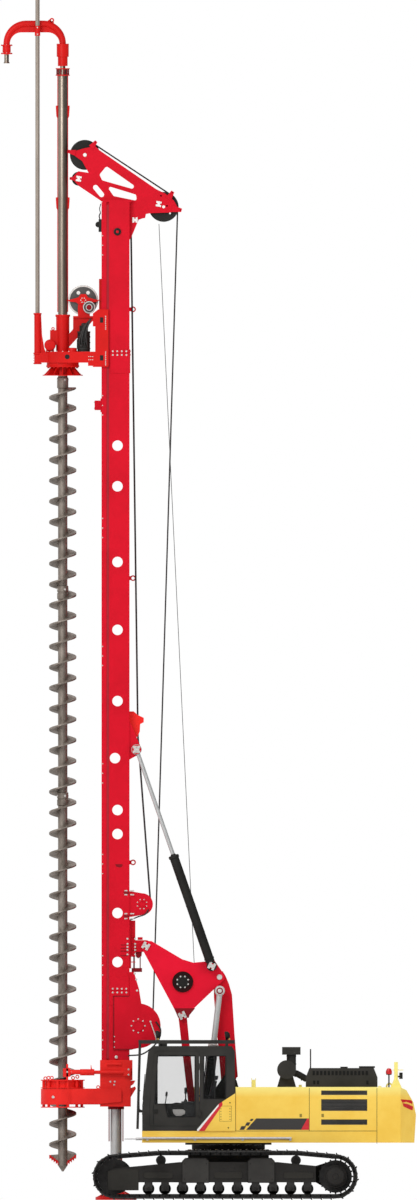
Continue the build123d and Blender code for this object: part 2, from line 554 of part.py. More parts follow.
def cab():
    save("cab_shell", cab_shell())
    save("cab_glass", *cab_glass())
    cab_door()
    y = (CAB_Y0 + CAB_Y1) / 2
    floor_z = DECK_Z1 + CAB_WALL
    seat = block(-420, 100, y - 250, y + 250, floor_z, 1620) + block(-480, 80, y - 260, y + 260, 1620, 1740)
    seat = seat + plate(((-20, 1700), (110, 1700), (200, 2330), (100, 2330)), y - 240, y + 240)
    seat = seat + block(-480, 60, y + 270, y + 400, floor_z, 1850)
    seat = seat + block(-10, 60, y + 240, y + 280, 1640, 1720)
    save("operator_seat", seat)
    bars = []
    for side_y in (CAB_Y0 + 60, CAB_Y1 - 60):
        bars.append(block(-1305, 502, side_y - 25, side_y + 25, 2929, 3000))
        for x in (-900, 350):
            bars.append(block(x - 30, x + 30, side_y - 20, side_y + 20, CAB_Z1, 2929))
        bars.append(bar((-1276, side_y, 2965), (-1322, side_y, 1330), 24))
        bars.append(block(-1330, CAB_FRONT[0][0], side_y - 20, side_y + 20, 1640, 1690))
    for x in (-1275, -850, -400, 50, 470):
        bars.append(block(x - 25, x + 25, CAB_Y0 + 60, CAB_Y1 - 60, 2935, 2995))
    for z in (1700, 2100, 2500, 2850):
        x = -1276 - 46 * (2965 - z) / 1635
        bars.append(bar((x, CAB_Y0 + 60, z), (x, CAB_Y1 - 60, z), 16))
    save("cab_guard", fuse(bars))
    cover = ((CAB_BACK + 6, DECK_Z1), (CAB_BACK + 6, 2000), (200, 1800), (-205, 1325), (-205, DECK_Z1))
    save("cab_side_cover", plate(cover, CAB_Y0 - 30, CAB_Y0))


# ---------------------------------------------------------------- linkage
def pin_at(centre, y0, y1):
    return disc(centre, PIN_R, y0, y1)


def cross_pin(centre, reach):
    return pin_at(centre, -reach, reach)


LINK_HALF = DELTA_Y0 - CLEAR
PIN_REACH = DELTA_Y0 + DELTA_T + CLEAR
EYE_Y0, EYE_Y1 = CYL_Y - EYE_W / 2, CYL_Y + EYE_W / 2
STAND_OUTER_Y = CYL_Y + LIFT_BARREL_R + CLEAR


def boom():
    side = ((PIN_C[0] + 60, PIN_C[1] + 110), (PIN_C[0] - 60, PIN_C[1] + 100), (PIN_C[0] - 110, PIN_C[1]),
            (PIN_E[0] - 110, PIN_E[1] - 120), (PIN_F[0] - 150, PIN_F[1] - 20),
            (PIN_F[0] - 60, PIN_F[1] - 120),
            (PIN_F[0] + 60, PIN_F[1] - 120), (PIN_F[0] + 140, PIN_F[1] + 60), (560, 2310), (497, 3110),
            (450, 3850), (390, 4060), (330, 4200))
    body = plate(side, -LINK_HALF, LINK_HALF)
    body = body + cross_pin(PIN_C, PIN_REACH) + cross_pin(PIN_F, PIN_REACH)
    head = disc(PIN_E, 38, -EYE_Y1 - CLEAR, EYE_Y1 + CLEAR)
    return body + head


def front_link():
    (x1, z1), (x0, z0) = PIN_D, PIN_G
    side = ((x1 - 80, z1 + 30), (x1 - 30, z1 + 90), (x1 + 30, z1 + 90), (x1 + 80, z1 + 30),
            (x0 + 60, z0 + 300), (x0 + 80, z0), (x0, z0 - 90), (x0 - 80, z0), (x0 - 70, z0 + 300))
    body = plate(side, -LINK_HALF + 20, LINK_HALF - 20)
    return body + cross_pin(PIN_D, PIN_REACH) + cross_pin(PIN_G, PIN_REACH)


def delta():
    """Two delta plates joined by the round boss."""
    rim = ((-1180, 4860), (-1060, 4855), (-486, 4515), (-275, 4450), (122, 4490), (310, 4218),
           (310, 4140), (-246, 3610), (-360, 3460), (-420, 3395), (-545, 3395), (-643, 3600),
           (-1200, 4640), (-1262, 4760))
    side = plate(rim, DELTA_Y0, DELTA_Y0 + DELTA_T)
    for pin in (PIN_A, PIN_C, PIN_D):
        side = side - disc(pin, PIN_R + FIT, DELTA_Y0 - 1, DELTA_Y0 + DELTA_T + 1)
    foot_pin = pin_at(PIN_B, DELTA_Y0, EYE_Y1 + CLEAR)
    boss = disc(HUB, 199, -DELTA_Y0 - DELTA_T - 30, DELTA_Y0 + DELTA_T + 30)
    boss = boss - disc(HUB, 126, -400, -DELTA_Y0 + 40) - disc(HUB, 126, DELTA_Y0 - 40, 400)
    return side + other_side(side) + boss + foot_pin + other_side(foot_pin)


def cylinder_pair(foot, head, barrel_len, barrel_r, rod_r, foot_bore):
    """Barrels with an eye at the foot pin, and rods with an open eye at the head pin."""
    a, b = Vector(foot[0], 0, foot[1]), Vector(head[0], 0, head[1])
    way = (b - a).normalized()
    length = (b - a).length
    frame = Plane(origin=(foot[0], CYL_Y, foot[1]), x_dir=(0, 1, 0), z_dir=(way.X, 0, way.Z))
    eye = disc(foot, EYE_R, EYE_Y0, EYE_Y1)
    body = frame * Pos(0, 0, (EYE_R - 20 + barrel_len) / 2) * Cylinder(barrel_r, barrel_len - EYE_R + 20)
    room = frame * Pos(0, 0, (EYE_R + 60 + barrel_len - 60) / 2) * Cylinder(barrel_r - BARREL_WALL,
                                                                      barrel_len - 120 - EYE_R)
    gland = frame * Pos(0, 0, barrel_len - 60) * Cylinder(rod_r + FIT, 140)
    barrel = eye + body - room - gland
    if foot_bore:
        barrel = barrel - disc(foot, PIN_R + FIT, EYE_Y0 - 1, EYE_Y1 + 1)
    else:
        barrel = barrel + disc(foot, PIN_R, DELTA_Y0, STAND_OUTER_Y + DELTA_T)
    start = barrel_len - 700
    rod = frame * Pos(0, 0, (start + length - 60) / 2) * Cylinder(rod_r, length - 60 - start)
    rod = rod + disc(head, EYE_R, EYE_Y0, EYE_Y1)
    rod = rod - disc(head, 38 + EYE_PLAY, EYE_Y0 - 1, EYE_Y1 + 1)
    return barrel, rod


def linkage():
    save("boom", boom())
    save("front_link", front_link())
    save("delta_plates", delta())
    barrel, rod = cylinder_pair(PIN_B, PIN_M, STAY_BARREL_LEN, STAY_BARREL_R, STAY_ROD_R, True)
    save("backstay_barrels", *both(barrel))
    save("backstay_rods", *both(rod))
    barrel, rod = cylinder_pair(PIN_H, PIN_E, LIFT_BARREL_LEN, LIFT_BARREL_R, LIFT_ROD_R, False)
    save("lift_cylinder_barrels", *both(barrel))
    save("lift_cylinder_rods", *both(rod))


# ---------------------------------------------------------------- mast
def mast_section(z0, z1):
    """Hollow box with the two guide rails on its front and bolted flanges at its ends."""
    tube = block(MAST_X0, MAST_X1, -MAST_HALF, MAST_HALF, z0, z1)
    room = block(MAST_X0 + MAST_WALL, MAST_X1 - MAST_WALL, -MAST_HALF + MAST_WALL, MAST_HALF - MAST_WALL,
                 z0 - 1, z1 + 1)
    tube = tube - room
    for side in (-1, 1):
        lo, hi = sorted((side * RAIL_Y0, side * RAIL_Y1))
        web_lo, web_hi = sorted((side * RAIL_Y0, side * RAIL_WEB_Y1))
        tube = tube + block(RAIL_X0, RAIL_X1, lo, hi, z0, z1)
        tube = tube + block(RAIL_X1, MAST_X0, web_lo, web_hi, z0, z1)
    for x, z in HOLES:
        if z0 < z < z1:
            tube = tube - disc((x, z), HOLE_R, -MAST_HALF - 1, MAST_HALF + 1)
    return tube


def mast():
    ends = (MAST_Z0, *JOINTS_Z, MAST_Z1)
    sections = [mast_section(z0, z1) for z0, z1 in zip(ends, ends[1:])]
    # hinge block behind the lower part of the main section
    hinge = block(MAST_X1, MAST_X1 + 110, -150, 150, 4560, 5240)
    hinge = hinge + block(MAST_X1 + 110, PIN_A[0], -LINK_HALF + 20, LINK_HALF - 20,
                          PIN_A[1] - 110, PIN_A[1] + 110)
    hinge = hinge + disc(PIN_A, 110, -LINK_HALF + 20, LINK_HALF - 20) + cross_pin(PIN_A, PIN_REACH)
    sections[1] = sections[1] + hinge
    x, z = PIN_M
    ear = plate(((MAST_X1, z + 540), (x + 60, z + 90), (x + 100, z), (x + 60, z - 80), (MAST_X1, z - 190)),
                EYE_Y0 - CLEAR - 30, EYE_Y0 - CLEAR)
    ear = ear + disc(PIN_M, 38, EYE_Y0 - CLEAR - 30, EYE_Y1 + CLEAR)
    sections[1] = sections[1] + ear + other_side(ear)
    x, z = MAIN_WINCH
    gap = DRUM_R + CLEAR
    inner = MAST_HALF - MAST_WALL
    window = block(MAST_X1 - MAST_WALL - 1, MAST_X1 + 1, -inner, inner, z - gap, z + gap)
    shaft_room = disc(MAIN_WINCH, WINCH_SHAFT_R + CLEAR, -MAST_HALF - 1, MAST_HALF + 1)
    sections[0] = sections[0] - window - shaft_room
    save("mast_lower", sections[0])
    save("mast_middle", sections[1])
    save("mast_upper", sections[2])


def mast_head():
    """Two cheek plates that carry the sheaves over the mast."""
    upper = ((-2590, 19640), (-2320, 19720), (-2110, 19760), (-2044, 19690), (-975, 18956), (-800, 18870),
             (-640, 18740), (-545, 18570), (-700, 18515), (-1050, 18505), (-1163, 18487), (-1180, 18412),
             (-1294, 18394), (MAST_X1 + 28, 18037), (MAST_X1, 18037), (MAST_X1, MAST_Z1),
             (MAST_X0 - HEAD_LIP, MAST_Z1), (-2419, 19010), (-2560, 19160), (-2430, 19290), (-2240, 19260),
             (-2360, 19480))
    face = outline(*upper)
    long_opening = outline((-2035, 19225), (-1905, 19385), (-1215, 18900), (-1985, 19120))
    slot = outline((-1905, 19020), (-1350, 18850), (-1335, 18735), (-1770, 18825))
    for opening, r in ((long_opening, 40), (slot, 32)):
        face = face - fillet(opening.vertices(), r)
    face = face - Pos(-2052, 18918) * Rot(0, 0, -50) * SlotOverall(270, 95)
    cheek = slab(face, HEAD_HALF, HEAD_HALF + HEAD_T)
    body = cheek + other_side(cheek)
    for x, z in HEAD_TIES:
        body = body + disc((x, z), HEAD_TIE_R, -HEAD_HALF - 1, HEAD_HALF + 1)
    base = block(MAST_X0 - HEAD_LIP, MAST_X1 + 40, -MAST_HALF, MAST_HALF, MAST_Z1, MAST_Z1 + 40)
    body = body + base
    for x, z, r in (*SHEAVES, SMALL_SHEAVE):
        body = body + disc((x, z), SHEAVE_PIN_R, -HEAD_HALF - HEAD_T, HEAD_HALF + HEAD_T)
    return body


def sheave(x, z, r, y, width, bore):
    wheel = disc((x, z), r, y - width / 2, y + width / 2)
    groove = slab(Pos(x, z) * (Circle(r + 1) - Circle(r - 30)), y - width / 6, y + width / 6)
    return wheel - groove - disc((x, z), bore + FIT, y - width, y + width)


def sheaves():
    for name, (x, z, r) in zip(("front_sheaves", "rear_sheaves"), SHEAVES):
        wheels = [sheave(x, z, r, y, SHEAVE_W, SHEAVE_PIN_R) for y in (-70, 70)]
        save(name, *wheels)
    x, z, r = SMALL_SHEAVE
    save("small_sheave", sheave(x, z, r, 0, SHEAVE_W, SHEAVE_PIN_R))


def winch_cheek(points, centre, r, y0):
    """Side plate of a winch: a rounded end over the drum, grown onto the mast."""
    cheek = plate(points, y0, y0 + WINCH_CHEEK) + disc(centre, r, y0, y0 + WINCH_CHEEK)
    return cheek - disc(centre, WINCH_SHAFT_R + FIT, y0 - 1, y0 + WINCH_CHEEK + 1)


def winch_drum(centre, core_r, rim_r, half, shaft_half):
    body = disc(centre, core_r, -half, half)
    for y in (-half, half - 20):
        body = body + disc(centre, rim_r, y, y + 20)
    return body + disc(centre, WINCH_SHAFT_R, -shaft_half, shaft_half)


def winches():
    x, z = MAIN_WINCH
    main = ((MAST_X0 + 75, z - 454), (MAST_X0 + 75, z + 560), (MAST_X1, z + 560), (MAST_X1, z + 1010),
            (MAST_X1 + 84, z + 1010), (x + 15, z + 690), (x + 60, z + 415), (x, z - 420), (MAST_X1, z - 454))
    cheek = winch_cheek(main, MAIN_WINCH, MAIN_WINCH_R, MAST_HALF)
    x, z = AUX_WINCH
    aux = ((MAST_X1 + 30, z - 240), (MAST_X1 + 30, z + 240), (x, z + AUX_WINCH_R), (x, z - AUX_WINCH_R))
    small = winch_cheek(aux, AUX_WINCH, AUX_WINCH_R, AUX_WINCH_HALF)
    base = block(MAST_X1, MAST_X1 + 30, -AUX_WINCH_HALF - WINCH_CHEEK, AUX_WINCH_HALF + WINCH_CHEEK,
                 z - 240, z + 240)
    save("winch_frames", *both(cheek), small + other_side(small) + base)
    inside = MAST_HALF - MAST_WALL - CLEAR
    save("main_winch_drum", winch_drum(MAIN_WINCH, 190, DRUM_R, inside, MAST_HALF + WINCH_CHEEK))
    inside = AUX_WINCH_HALF - CLEAR
    save("aux_winch_drum", winch_drum(AUX_WINCH, 110, 165, inside, AUX_WINCH_HALF + WINCH_CHEEK))


def mast_foot():
    """Clamp box round the foot of the mast, with the auger guide in front."""
    grip = block(-2025, -1416, -MAST_HALF - 40, MAST_HALF + 40, 2246, 2625)
    grip = grip - block(RAIL_X0 - FIT, MAST_X1 + FIT, -MAST_HALF - FIT, MAST_HALF + FIT, 2245, 2626)
    low = block(-2025, -1447, -MAST_HALF - 40, MAST_HALF + 40, MAST_Z0, 2246)
    low = low - block(RAIL_X0 - FIT, MAST_X1 + FIT, -MAST_HALF - FIT, MAST_HALF + FIT, MAST_Z0 - 1, 2247)
    body = grip + low
    arms = block(AUGER_X, -2025, -360, -300, GUIDE_Z0, GUIDE_Z1)
    arms = arms + block(AUGER_X, -2025, 300, 360, GUIDE_Z0, GUIDE_Z1)
    collar = post(AUGER_X, 0, GUIDE_R, GUIDE_Z0, GUIDE_Z1)
    body = body + arms + collar - post(AUGER_X, 0, GUIDE_BORE, GUIDE_Z0 - 1, GUIDE_Z1 + 1)
    guides = []
    inner = MAST_HALF - MAST_WALL
    for z in JACK_GUIDES_Z:
        guide = block(MAST_X0 + MAST_WALL, MAST_X1 - MAST_WALL, -inner, inner, z, z + JACK_GUIDE_T)
        guides.append(guide - post(JACK_X, 0, JACK_R + FIT, z - 1, z + JACK_GUIDE_T + 1))
    return [body, *guides]


def support_jack():
    tube = post(JACK_X, 0, JACK_R, JACK_PAD_H, JACK_TOP)
    pad = post(JACK_X, 0, JACK_PAD_R, 0, JACK_PAD_H)
    collar = Pos(JACK_X, 0, JACK_PAD_H + 40) * Cone(240, 120, 80)
    return tube + pad + collar


# ---------------------------------------------------------------- rotary head and auger
GOOSE_Z0 = DRIVE_Z1 + COUPLING_H + SWIVEL_H + FIT


def head_carriage():
    """Slide that runs on the two rails of the mast, with its tail plate over it."""
    x1, half = RAIL_X0 - CLEAR, CARRIAGE_HALF
    z0, z1 = CARRIAGE_Z0, CARRIAGE_Z1
    side = ((CARRIAGE_X0, z0), (CARRIAGE_X0, RECESS_Z[0]), (RECESS_X, RECESS_Z[0]), (RECESS_X, RECESS_Z[1]),
            (CARRIAGE_X0, RECESS_Z[1]), (CARRIAGE_X0, z1 - CARRIAGE_CHAMFER[1]),
            (CARRIAGE_X0 + CARRIAGE_CHAMFER[0], z1), (x1, z1), (x1, z0))
    body = plate(side, -half, half)
    for side_sign in (-1, 1):
        lo, hi = sorted((side_sign * (RAIL_Y1 + CLEAR), side_sign * half))
        claw_lo, claw_hi = sorted((side_sign * (RAIL_WEB_Y1 + CLEAR), side_sign * half))
        body = body + block(x1, CLAW_X1, lo, hi, z0, z1)
        for z in (z0, z1 - CLAW_H):
            body = body + block(RAIL_X1 + CLEAR, CLAW_X1, claw_lo, claw_hi, z, z + CLAW_H)
    body = body + block(TAIL_X[0], x1, -TAIL_HALF, TAIL_HALF, z1, TAIL_Z1)
    body = body + block(x1, TAIL_X[1], -TAIL_HALF, TAIL_HALF, z1 - CLAW_H, TAIL_Z1)
    x, z, r = HEAD_SHEAVE
    return body - disc((x, z), r + CLEAR, -SHEAVE_W / 2 - CLEAR, SHEAVE_W / 2 + CLEAR)


def gearbox():
    """Drive housing on the carriage's arms, with its sleeve, skirt, brace and rod socket."""
    body = post(AUGER_X, 0, HOUSING_R, BEAM_BOTTOM, BEAM_TOP)
    body = body + post(AUGER_X, 0, SLEEVE_R, BEAM_TOP, SLEEVE_Z1)
    body = body + post(AUGER_X, 0, COLLAR_R, SLEEVE_Z1 - COLLAR_H, SLEEVE_Z1)
    body = body + block(AUGER_X, CARRIAGE_X0, -ARM_HALF, ARM_HALF, BEAM_BOTTOM, BEAM_TOP)
    arm = block(ARM_X0, CARRIAGE_X0, CARRIAGE_HALF - ARM_T, CARRIAGE_HALF, BEAM_BOTTOM, BEAM_TOP)
    arm = arm + block(ARM_X0, CARRIAGE_X0, ARM_HALF, CARRIAGE_HALF, BEAM_TOP - ARM_T, BEAM_TOP)
    body = body + arm + other_side(arm)
    sleeve_edge = AUGER_X + SLEEVE_R - BRACE_LAP
    low_z, step_z, high_z = BRACE_Z
    brace = plate(((sleeve_edge, low_z), (sleeve_edge, step_z), (CAP_X0, high_z), (CAP_X0, CAP_Z),
                   (CARRIAGE_X0, CAP_Z), (CARRIAGE_X0, CAP_Z - CAP_BEAM_H), (BRACE_X, low_z)),
                  -BRACE_HALF, BRACE_HALF)
    cap = block(CAP_X0, CARRIAGE_X0, -STAND_Y - STAND_T, STAND_Y + STAND_T, CAP_Z - CAP_T, CAP_Z)
    body = body + brace + cap + head_sheave_stand()
    body = body + disc((PUMP_X, PUMP_Z), PUMP_R, -PUMP_HALF, PUMP_HALF)
    body = body + block(PUMP_X - PUMP_FOOT, PUMP_X + PUMP_FOOT, -PUMP_FOOT_HALF, PUMP_FOOT_HALF,
                        BEAM_TOP, PUMP_Z)
    valve = block(PUMP_X, AUGER_X - SLEEVE_R + VALVE_LAP, -VALVE_HALF, VALVE_HALF, PUMP_Z, VALVE_Z1)
    socket = block(ROD_X, AUGER_X - SOCKET_WEB_X, ROD_Y - SOCKET_R, ROD_Y + SOCKET_R,
                   SOCKET_Z0, BEAM_TOP - SOCKET_WEB_DROP)
    socket = socket + post(ROD_X, ROD_Y, SOCKET_R, SOCKET_Z0, SOCKET_Z1)
    hole = post(AUGER_X, 0, DRIVE_R + CLEAR, HEAD_Z0 - 1, SLEEVE_Z1 + 1)
    return body + valve + socket + skirt() - hole


def skirt():
    """Round plate under the housing, held by a ring of fins."""
    body = post(AUGER_X, 0, RING_PLATE_R, RING_PLATE_Z0, BEAM_BOTTOM)
    body = body + post(AUGER_X, 0, SKIRT_NECK_R, HEAD_Z0, BEAM_BOTTOM)
    body = body + post(AUGER_X, 0, SKIRT_R, HEAD_Z0, HEAD_Z0 + SKIRT_T)
    inner, (step, rise) = SKIRT_NECK_R - FIN_LAP, FIN_STEP
    fin = plate(((inner, HEAD_Z0), (SKIRT_R - FIN_EDGE, HEAD_Z0), (SKIRT_R - step, HEAD_Z0 + rise),
                 (SKIRT_NECK_R + FIN_TOP, RING_PLATE_Z0), (inner, RING_PLATE_Z0)), -SKIRT_T / 2, SKIRT_T / 2)
    for i in range(SKIRT_FINS):
        body = body + Pos(AUGER_X, 0, 0) * Rot(0, 0, 360 / SKIRT_FINS * i) * fin
    return body


def head_sheave_stand():
    """Two cheeks on the deck, with the pin of the head's sheave."""
    x, z = HEAD_SHEAVE[:2]
    x0, x1 = STAND_X
    outer, ear_z, low_z = STAND_Y + STAND_T, z + STAND_EAR_Z, z - STAND_SHOULDER
    cheek = plate(((x0, CAP_Z - CAP_T), (x0, low_z), (x - STAND_EAR, ear_z), (x + STAND_EAR, ear_z),
                   (x1, low_z), (x1, CAP_Z - CAP_T)), STAND_Y, outer)
    return cheek + other_side(cheek) + disc((x, z), SHEAVE_PIN_R, -outer, outer)


def drive_motors():
    """Two hydraulic motors standing on the arms, each with its valve block."""
    motor = post(MOTOR_X, MOTOR_Y, MOTOR_R, BEAM_TOP + FIT, BEAM_TOP + MOTOR_H)
    top_z = BEAM_TOP + MOTOR_H
    motor = motor + post(MOTOR_X, MOTOR_Y, MOTOR_CAP_R, top_z, top_z + MOTOR_CAP_H)
    (x0, x1), (z0, z1) = MOTOR_VALVE_X, MOTOR_VALVE_Z
    motor = motor + block(MOTOR_X + x0, MOTOR_X + x1, MOTOR_Y - MOTOR_VALVE_HALF,
                          MOTOR_Y + MOTOR_VALVE_HALF, BEAM_TOP + z0, BEAM_TOP + z1)
    return both(motor)


def drive_string():
    """Turning tube with the bolted coupling and the swivel spigot at its top."""
    ring_z = DRIVE_Z1 + COUPLING_H - COUPLING_RING
    tube = post(AUGER_X, 0, DRIVE_R, AUGER_TOP, DRIVE_Z1 + COUPLING_H)
    for z in (DRIVE_Z1, ring_z):
        tube = tube + post(AUGER_X, 0, COUPLING_R, z, z + COUPLING_RING)
    return tube + post(AUGER_X, 0, SWIVEL_R, DRIVE_Z1 + COUPLING_H, GOOSE_Z0 - FIT)


def auger():
    root = STEM_R - FLIGHT_ROOT
    path = Pos(AUGER_X, 0, FLIGHT_Z0) * Helix(PITCH, FLIGHT_Z1 - FLIGHT_Z0, root)
    blade = Plane(origin=path @ 0, x_dir=(1, 0, 0), z_dir=(0, 1, 0))
    section = blade * Pos((FLIGHT_R - root) / 2, 0) * Rectangle(FLIGHT_R - root, FLIGHT_T)
    point_z = FLIGHT_Z0 - AUGER_POINT_H
    body = post(AUGER_X, 0, STEM_R, point_z, AUGER_TOP)
    body = body + sweep(section, path=path, is_frenet=True)
    point = Cone(AUGER_POINT_R, STEM_R, point_z - AUGER_TIP)
    return body + Pos(AUGER_X, 0, (AUGER_TIP + point_z) / 2) * point


def tube(x, r, bore, z0, z1):
    return post(x, 0, r, z0, z1) - post(x, 0, bore, z0 - 1, z1 + 1)


def gooseneck():
    """Bent delivery pipe on top of the drive string, with its sleeves, flanges, web and nozzle."""
    axis_z, bore = GOOSE_TOP - GOOSE_R, GOOSE_R - GOOSE_WALL
    hose_z0 = HOSE_FLANGES[0]
    path = FilletPolyline((AUGER_X, 0, GOOSE_Z0), (AUGER_X, 0, axis_z), (HOSE_X, 0, axis_z),
                          (HOSE_X, 0, hose_z0), radius=GOOSE_BEND)
    start = Plane(origin=path @ 0, z_dir=path % 0)
    pipe = sweep(start * Circle(GOOSE_R), path=path)
    body = pipe - sweep(start * Circle(bore), path=path)
    z = GOOSE_Z0
    for r, length in GOOSE_SLEEVES:
        body = body + tube(AUGER_X, r, bore, z, z + length)
        z += length
    for flange_z in HOSE_FLANGES:
        body = body + tube(HOSE_X, HOSE_FLANGE_R, bore, flange_z, flange_z + HOSE_FLANGE_T)
    body = body + tube(HOSE_X, HOSE_SLEEVE_R, bore, hose_z0, HOSE_FLANGES[1])
    nozzle_bore = NOZZLE_R - GOOSE_WALL
    body = body + tube(HOSE_X, NOZZLE_R, nozzle_bore, hose_z0 - NOZZLE_LEN, hose_z0)
    body = body + tube(HOSE_X, GOOSE_R, nozzle_bore, hose_z0, hose_z0 + HOSE_FLANGE_T)
    middle, half, inside = (AUGER_X + HOSE_X) / 2, (AUGER_X - HOSE_X) / 2, axis_z - WEB_DEPTH
    arch = Pos(middle, z) * RectangleRounded(2 * half, 2 * (axis_z - z), GOOSE_BEND)
    opening = Pos(middle, z) * RectangleRounded(2 * (half - GOOSE_R - 1), 2 * (inside - z), inside - z - 1)
    upper = Pos(middle, z + WEB_DEPTH * 2) * Rectangle(4 * half, WEB_DEPTH * 4)
    web = slab((arch - opening) & upper, -WEB_T / 2, WEB_T / 2) - pipe
    clamp = post(ROD_X, ROD_Y, CLAMP_R, *CLAMP_Z)
    clamp = clamp + block(ROD_X - CLAMP_R / 2, ROD_X + CLAMP_R / 2, ROD_Y, -WEB_T / 2, *CLAMP_Z) - pipe
    return body + web + (clamp - post(ROD_X, ROD_Y, ROD_R + FIT, CLAMP_Z[0] - 1, CLAMP_Z[1] + 1))


def rotary_head():
    save("head_carriage", head_carriage())
    save("rotary_drive", gearbox())
    save("drive_motors", *drive_motors())
    save("head_sheave", sheave(*HEAD_SHEAVE, 0, SHEAVE_W, SHEAVE_PIN_R))
    save("drive_string", drive_string())
    save("auger", auger())
    save("gooseneck", gooseneck())
    save("guide_rod", post(ROD_X, ROD_Y, ROD_R, SOCKET_Z1, ROD_TOP))


undercarriage()
house()
cab()
linkage()
mast()
save("mast_head", mast_head())
sheaves()
winches()
save("mast_foot", *mast_foot())
save("support_jack", support_jack())
rotary_head()
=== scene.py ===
# %% [markdown]
# # A rotary piling rig
#
# The machine is packed as named steel parts that already stand in the right place and
# move on named bodies. This script dresses them: paint, steel, rubber and glass first,
# then the small pieces that a fitter would bolt on. All lengths are metres, +Z is up,
# the auger hangs at the -X end and the cab is on the -Y side.

# %% Load the frame
import json
import math

import bmesh
import bpy
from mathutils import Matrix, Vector


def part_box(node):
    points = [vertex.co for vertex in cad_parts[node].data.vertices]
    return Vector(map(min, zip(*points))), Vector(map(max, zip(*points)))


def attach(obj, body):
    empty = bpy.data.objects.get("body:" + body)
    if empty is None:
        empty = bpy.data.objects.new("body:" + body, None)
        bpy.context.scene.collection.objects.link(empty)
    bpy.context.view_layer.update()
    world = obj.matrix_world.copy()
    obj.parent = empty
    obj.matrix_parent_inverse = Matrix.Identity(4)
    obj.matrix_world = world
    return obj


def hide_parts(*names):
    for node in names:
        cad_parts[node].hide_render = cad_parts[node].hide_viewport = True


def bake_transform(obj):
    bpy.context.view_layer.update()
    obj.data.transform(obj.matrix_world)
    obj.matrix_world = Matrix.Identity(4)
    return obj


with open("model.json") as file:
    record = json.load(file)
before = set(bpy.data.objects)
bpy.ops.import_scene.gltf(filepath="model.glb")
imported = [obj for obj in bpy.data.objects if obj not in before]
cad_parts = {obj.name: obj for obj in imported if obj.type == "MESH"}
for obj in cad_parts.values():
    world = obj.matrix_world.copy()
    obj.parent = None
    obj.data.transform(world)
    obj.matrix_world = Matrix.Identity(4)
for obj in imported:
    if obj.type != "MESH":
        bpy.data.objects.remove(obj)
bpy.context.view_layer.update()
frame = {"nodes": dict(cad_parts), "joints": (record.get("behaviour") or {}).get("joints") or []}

# %% [markdown]
# ## Colours and shader nodes
#
# Paint makers give colours as sRGB hex values, and shaders want linear light, so one
# function converts them. A second function adds a shader node, sets what it needs and
# links its inputs. Every finish below is written with those two.

# %% Colour and node helpers
def hex_colour(code):
    """Linear RGBA from an sRGB hex value such as "C81E2B"."""
    parts = [int(code[i:i + 2], 16) / 255 for i in (0, 2, 4)]
    linear = [c / 12.92 if c <= 0.04045 else ((c + 0.055) / 1.055) ** 2.4 for c in parts]
    return (*linear, 1.0)


def add_node(tree, kind, settings=None, **inputs):
    """Add a node, set its properties, and link or fill its inputs."""
    made = tree.nodes.new(kind)
    for key, value in (settings or {}).items():
        setattr(made, key, value)
    for key, value in inputs.items():
        by_number = key[0] == "i" and key[1:].isdigit()
        socket = made.inputs[int(key[1:]) if by_number else key.replace("_", " ")]
        if isinstance(value, bpy.types.NodeSocket):
            tree.links.new(value, socket)
        else:
            socket.default_value = value
    return made


def new_material(name):
    """An empty node material with its tree, its shader and its object coordinates."""
    material = bpy.data.materials.new(name)
    material.use_nodes = True
    tree = material.node_tree
    shader = tree.nodes["Principled BSDF"]
    place = add_node(tree, "ShaderNodeTexCoord").outputs["Object"]
    return material, tree, shader, place


# %% [markdown]
# ## Sprayed enamel
#
# Site machines are sprayed with two-pack polyurethane enamel. Close up it has a fine
# orange peel, about 3 mm from bump to bump, and a little dust that dulls it in patches
# half a metre across. A wide noise varies the colour and the roughness, and a fine noise
# drives the bump. The peel is drawn at 12 mm, as coarse as it must be to show at all.

# %% Enamel
def enamel(name, code, shade_code, roughness=0.42, coat=0.06, shine=0.22, top_highlight=None):
    material, tree, shader, place = new_material(name)
    dust = add_node(tree, "ShaderNodeTexNoise", Vector=place, Scale=1.7, Detail=6.0, Roughness=0.62)
    soft = add_node(tree, "ShaderNodeValToRGB", Fac=dust.outputs["Fac"])
    soft.color_ramp.elements[0].position = 0.34
    soft.color_ramp.elements[0].color = hex_colour(shade_code)
    soft.color_ramp.elements[1].position = 0.60
    soft.color_ramp.elements[1].color = hex_colour(code)
    peel = add_node(tree, "ShaderNodeTexNoise", Vector=place, Scale=80.0, Detail=2.0)
    bump = add_node(tree, "ShaderNodeBump", Strength=0.05, Distance=0.002, Height=peel.outputs["Fac"])
    dull = add_node(tree, "ShaderNodeMapRange", Value=dust.outputs["Fac"])
    dull.inputs["To Min"].default_value = roughness + 0.14
    dull.inputs["To Max"].default_value = roughness - 0.06
    paint = soft.outputs["Color"]
    # Optional painted highlight: between two heights the colour turns paler towards the top, and it is fully
    # pale above them, for light caught on rounded top edges.
    if top_highlight:
        highlight_code, low, high = top_highlight
        parts = add_node(tree, "ShaderNodeSeparateXYZ", Vector=place)
        highlight_rise = add_node(tree, "ShaderNodeMapRange", Value=parts.outputs["Z"])
        highlight_rise.inputs["From Min"].default_value = low
        highlight_rise.inputs["From Max"].default_value = high
        highlight_mix = add_node(tree, "ShaderNodeMix", {"data_type": "RGBA"})
        tree.links.new(highlight_rise.outputs["Result"], highlight_mix.inputs[0])
        tree.links.new(paint, highlight_mix.inputs[6])
        highlight_mix.inputs[7].default_value = hex_colour(highlight_code)
        paint = highlight_mix.outputs[2]
    tree.links.new(paint, shader.inputs["Base Color"])
    tree.links.new(dull.outputs["Result"], shader.inputs["Roughness"])
    tree.links.new(bump.outputs["Normal"], shader.inputs["Normal"])
    shader.inputs["IOR"].default_value = 1.5
    shader.inputs["Specular IOR Level"].default_value = shine
    shader.inputs["Coat Weight"].default_value = coat
    shader.inputs["Coat Roughness"].default_value = 0.15
    return material


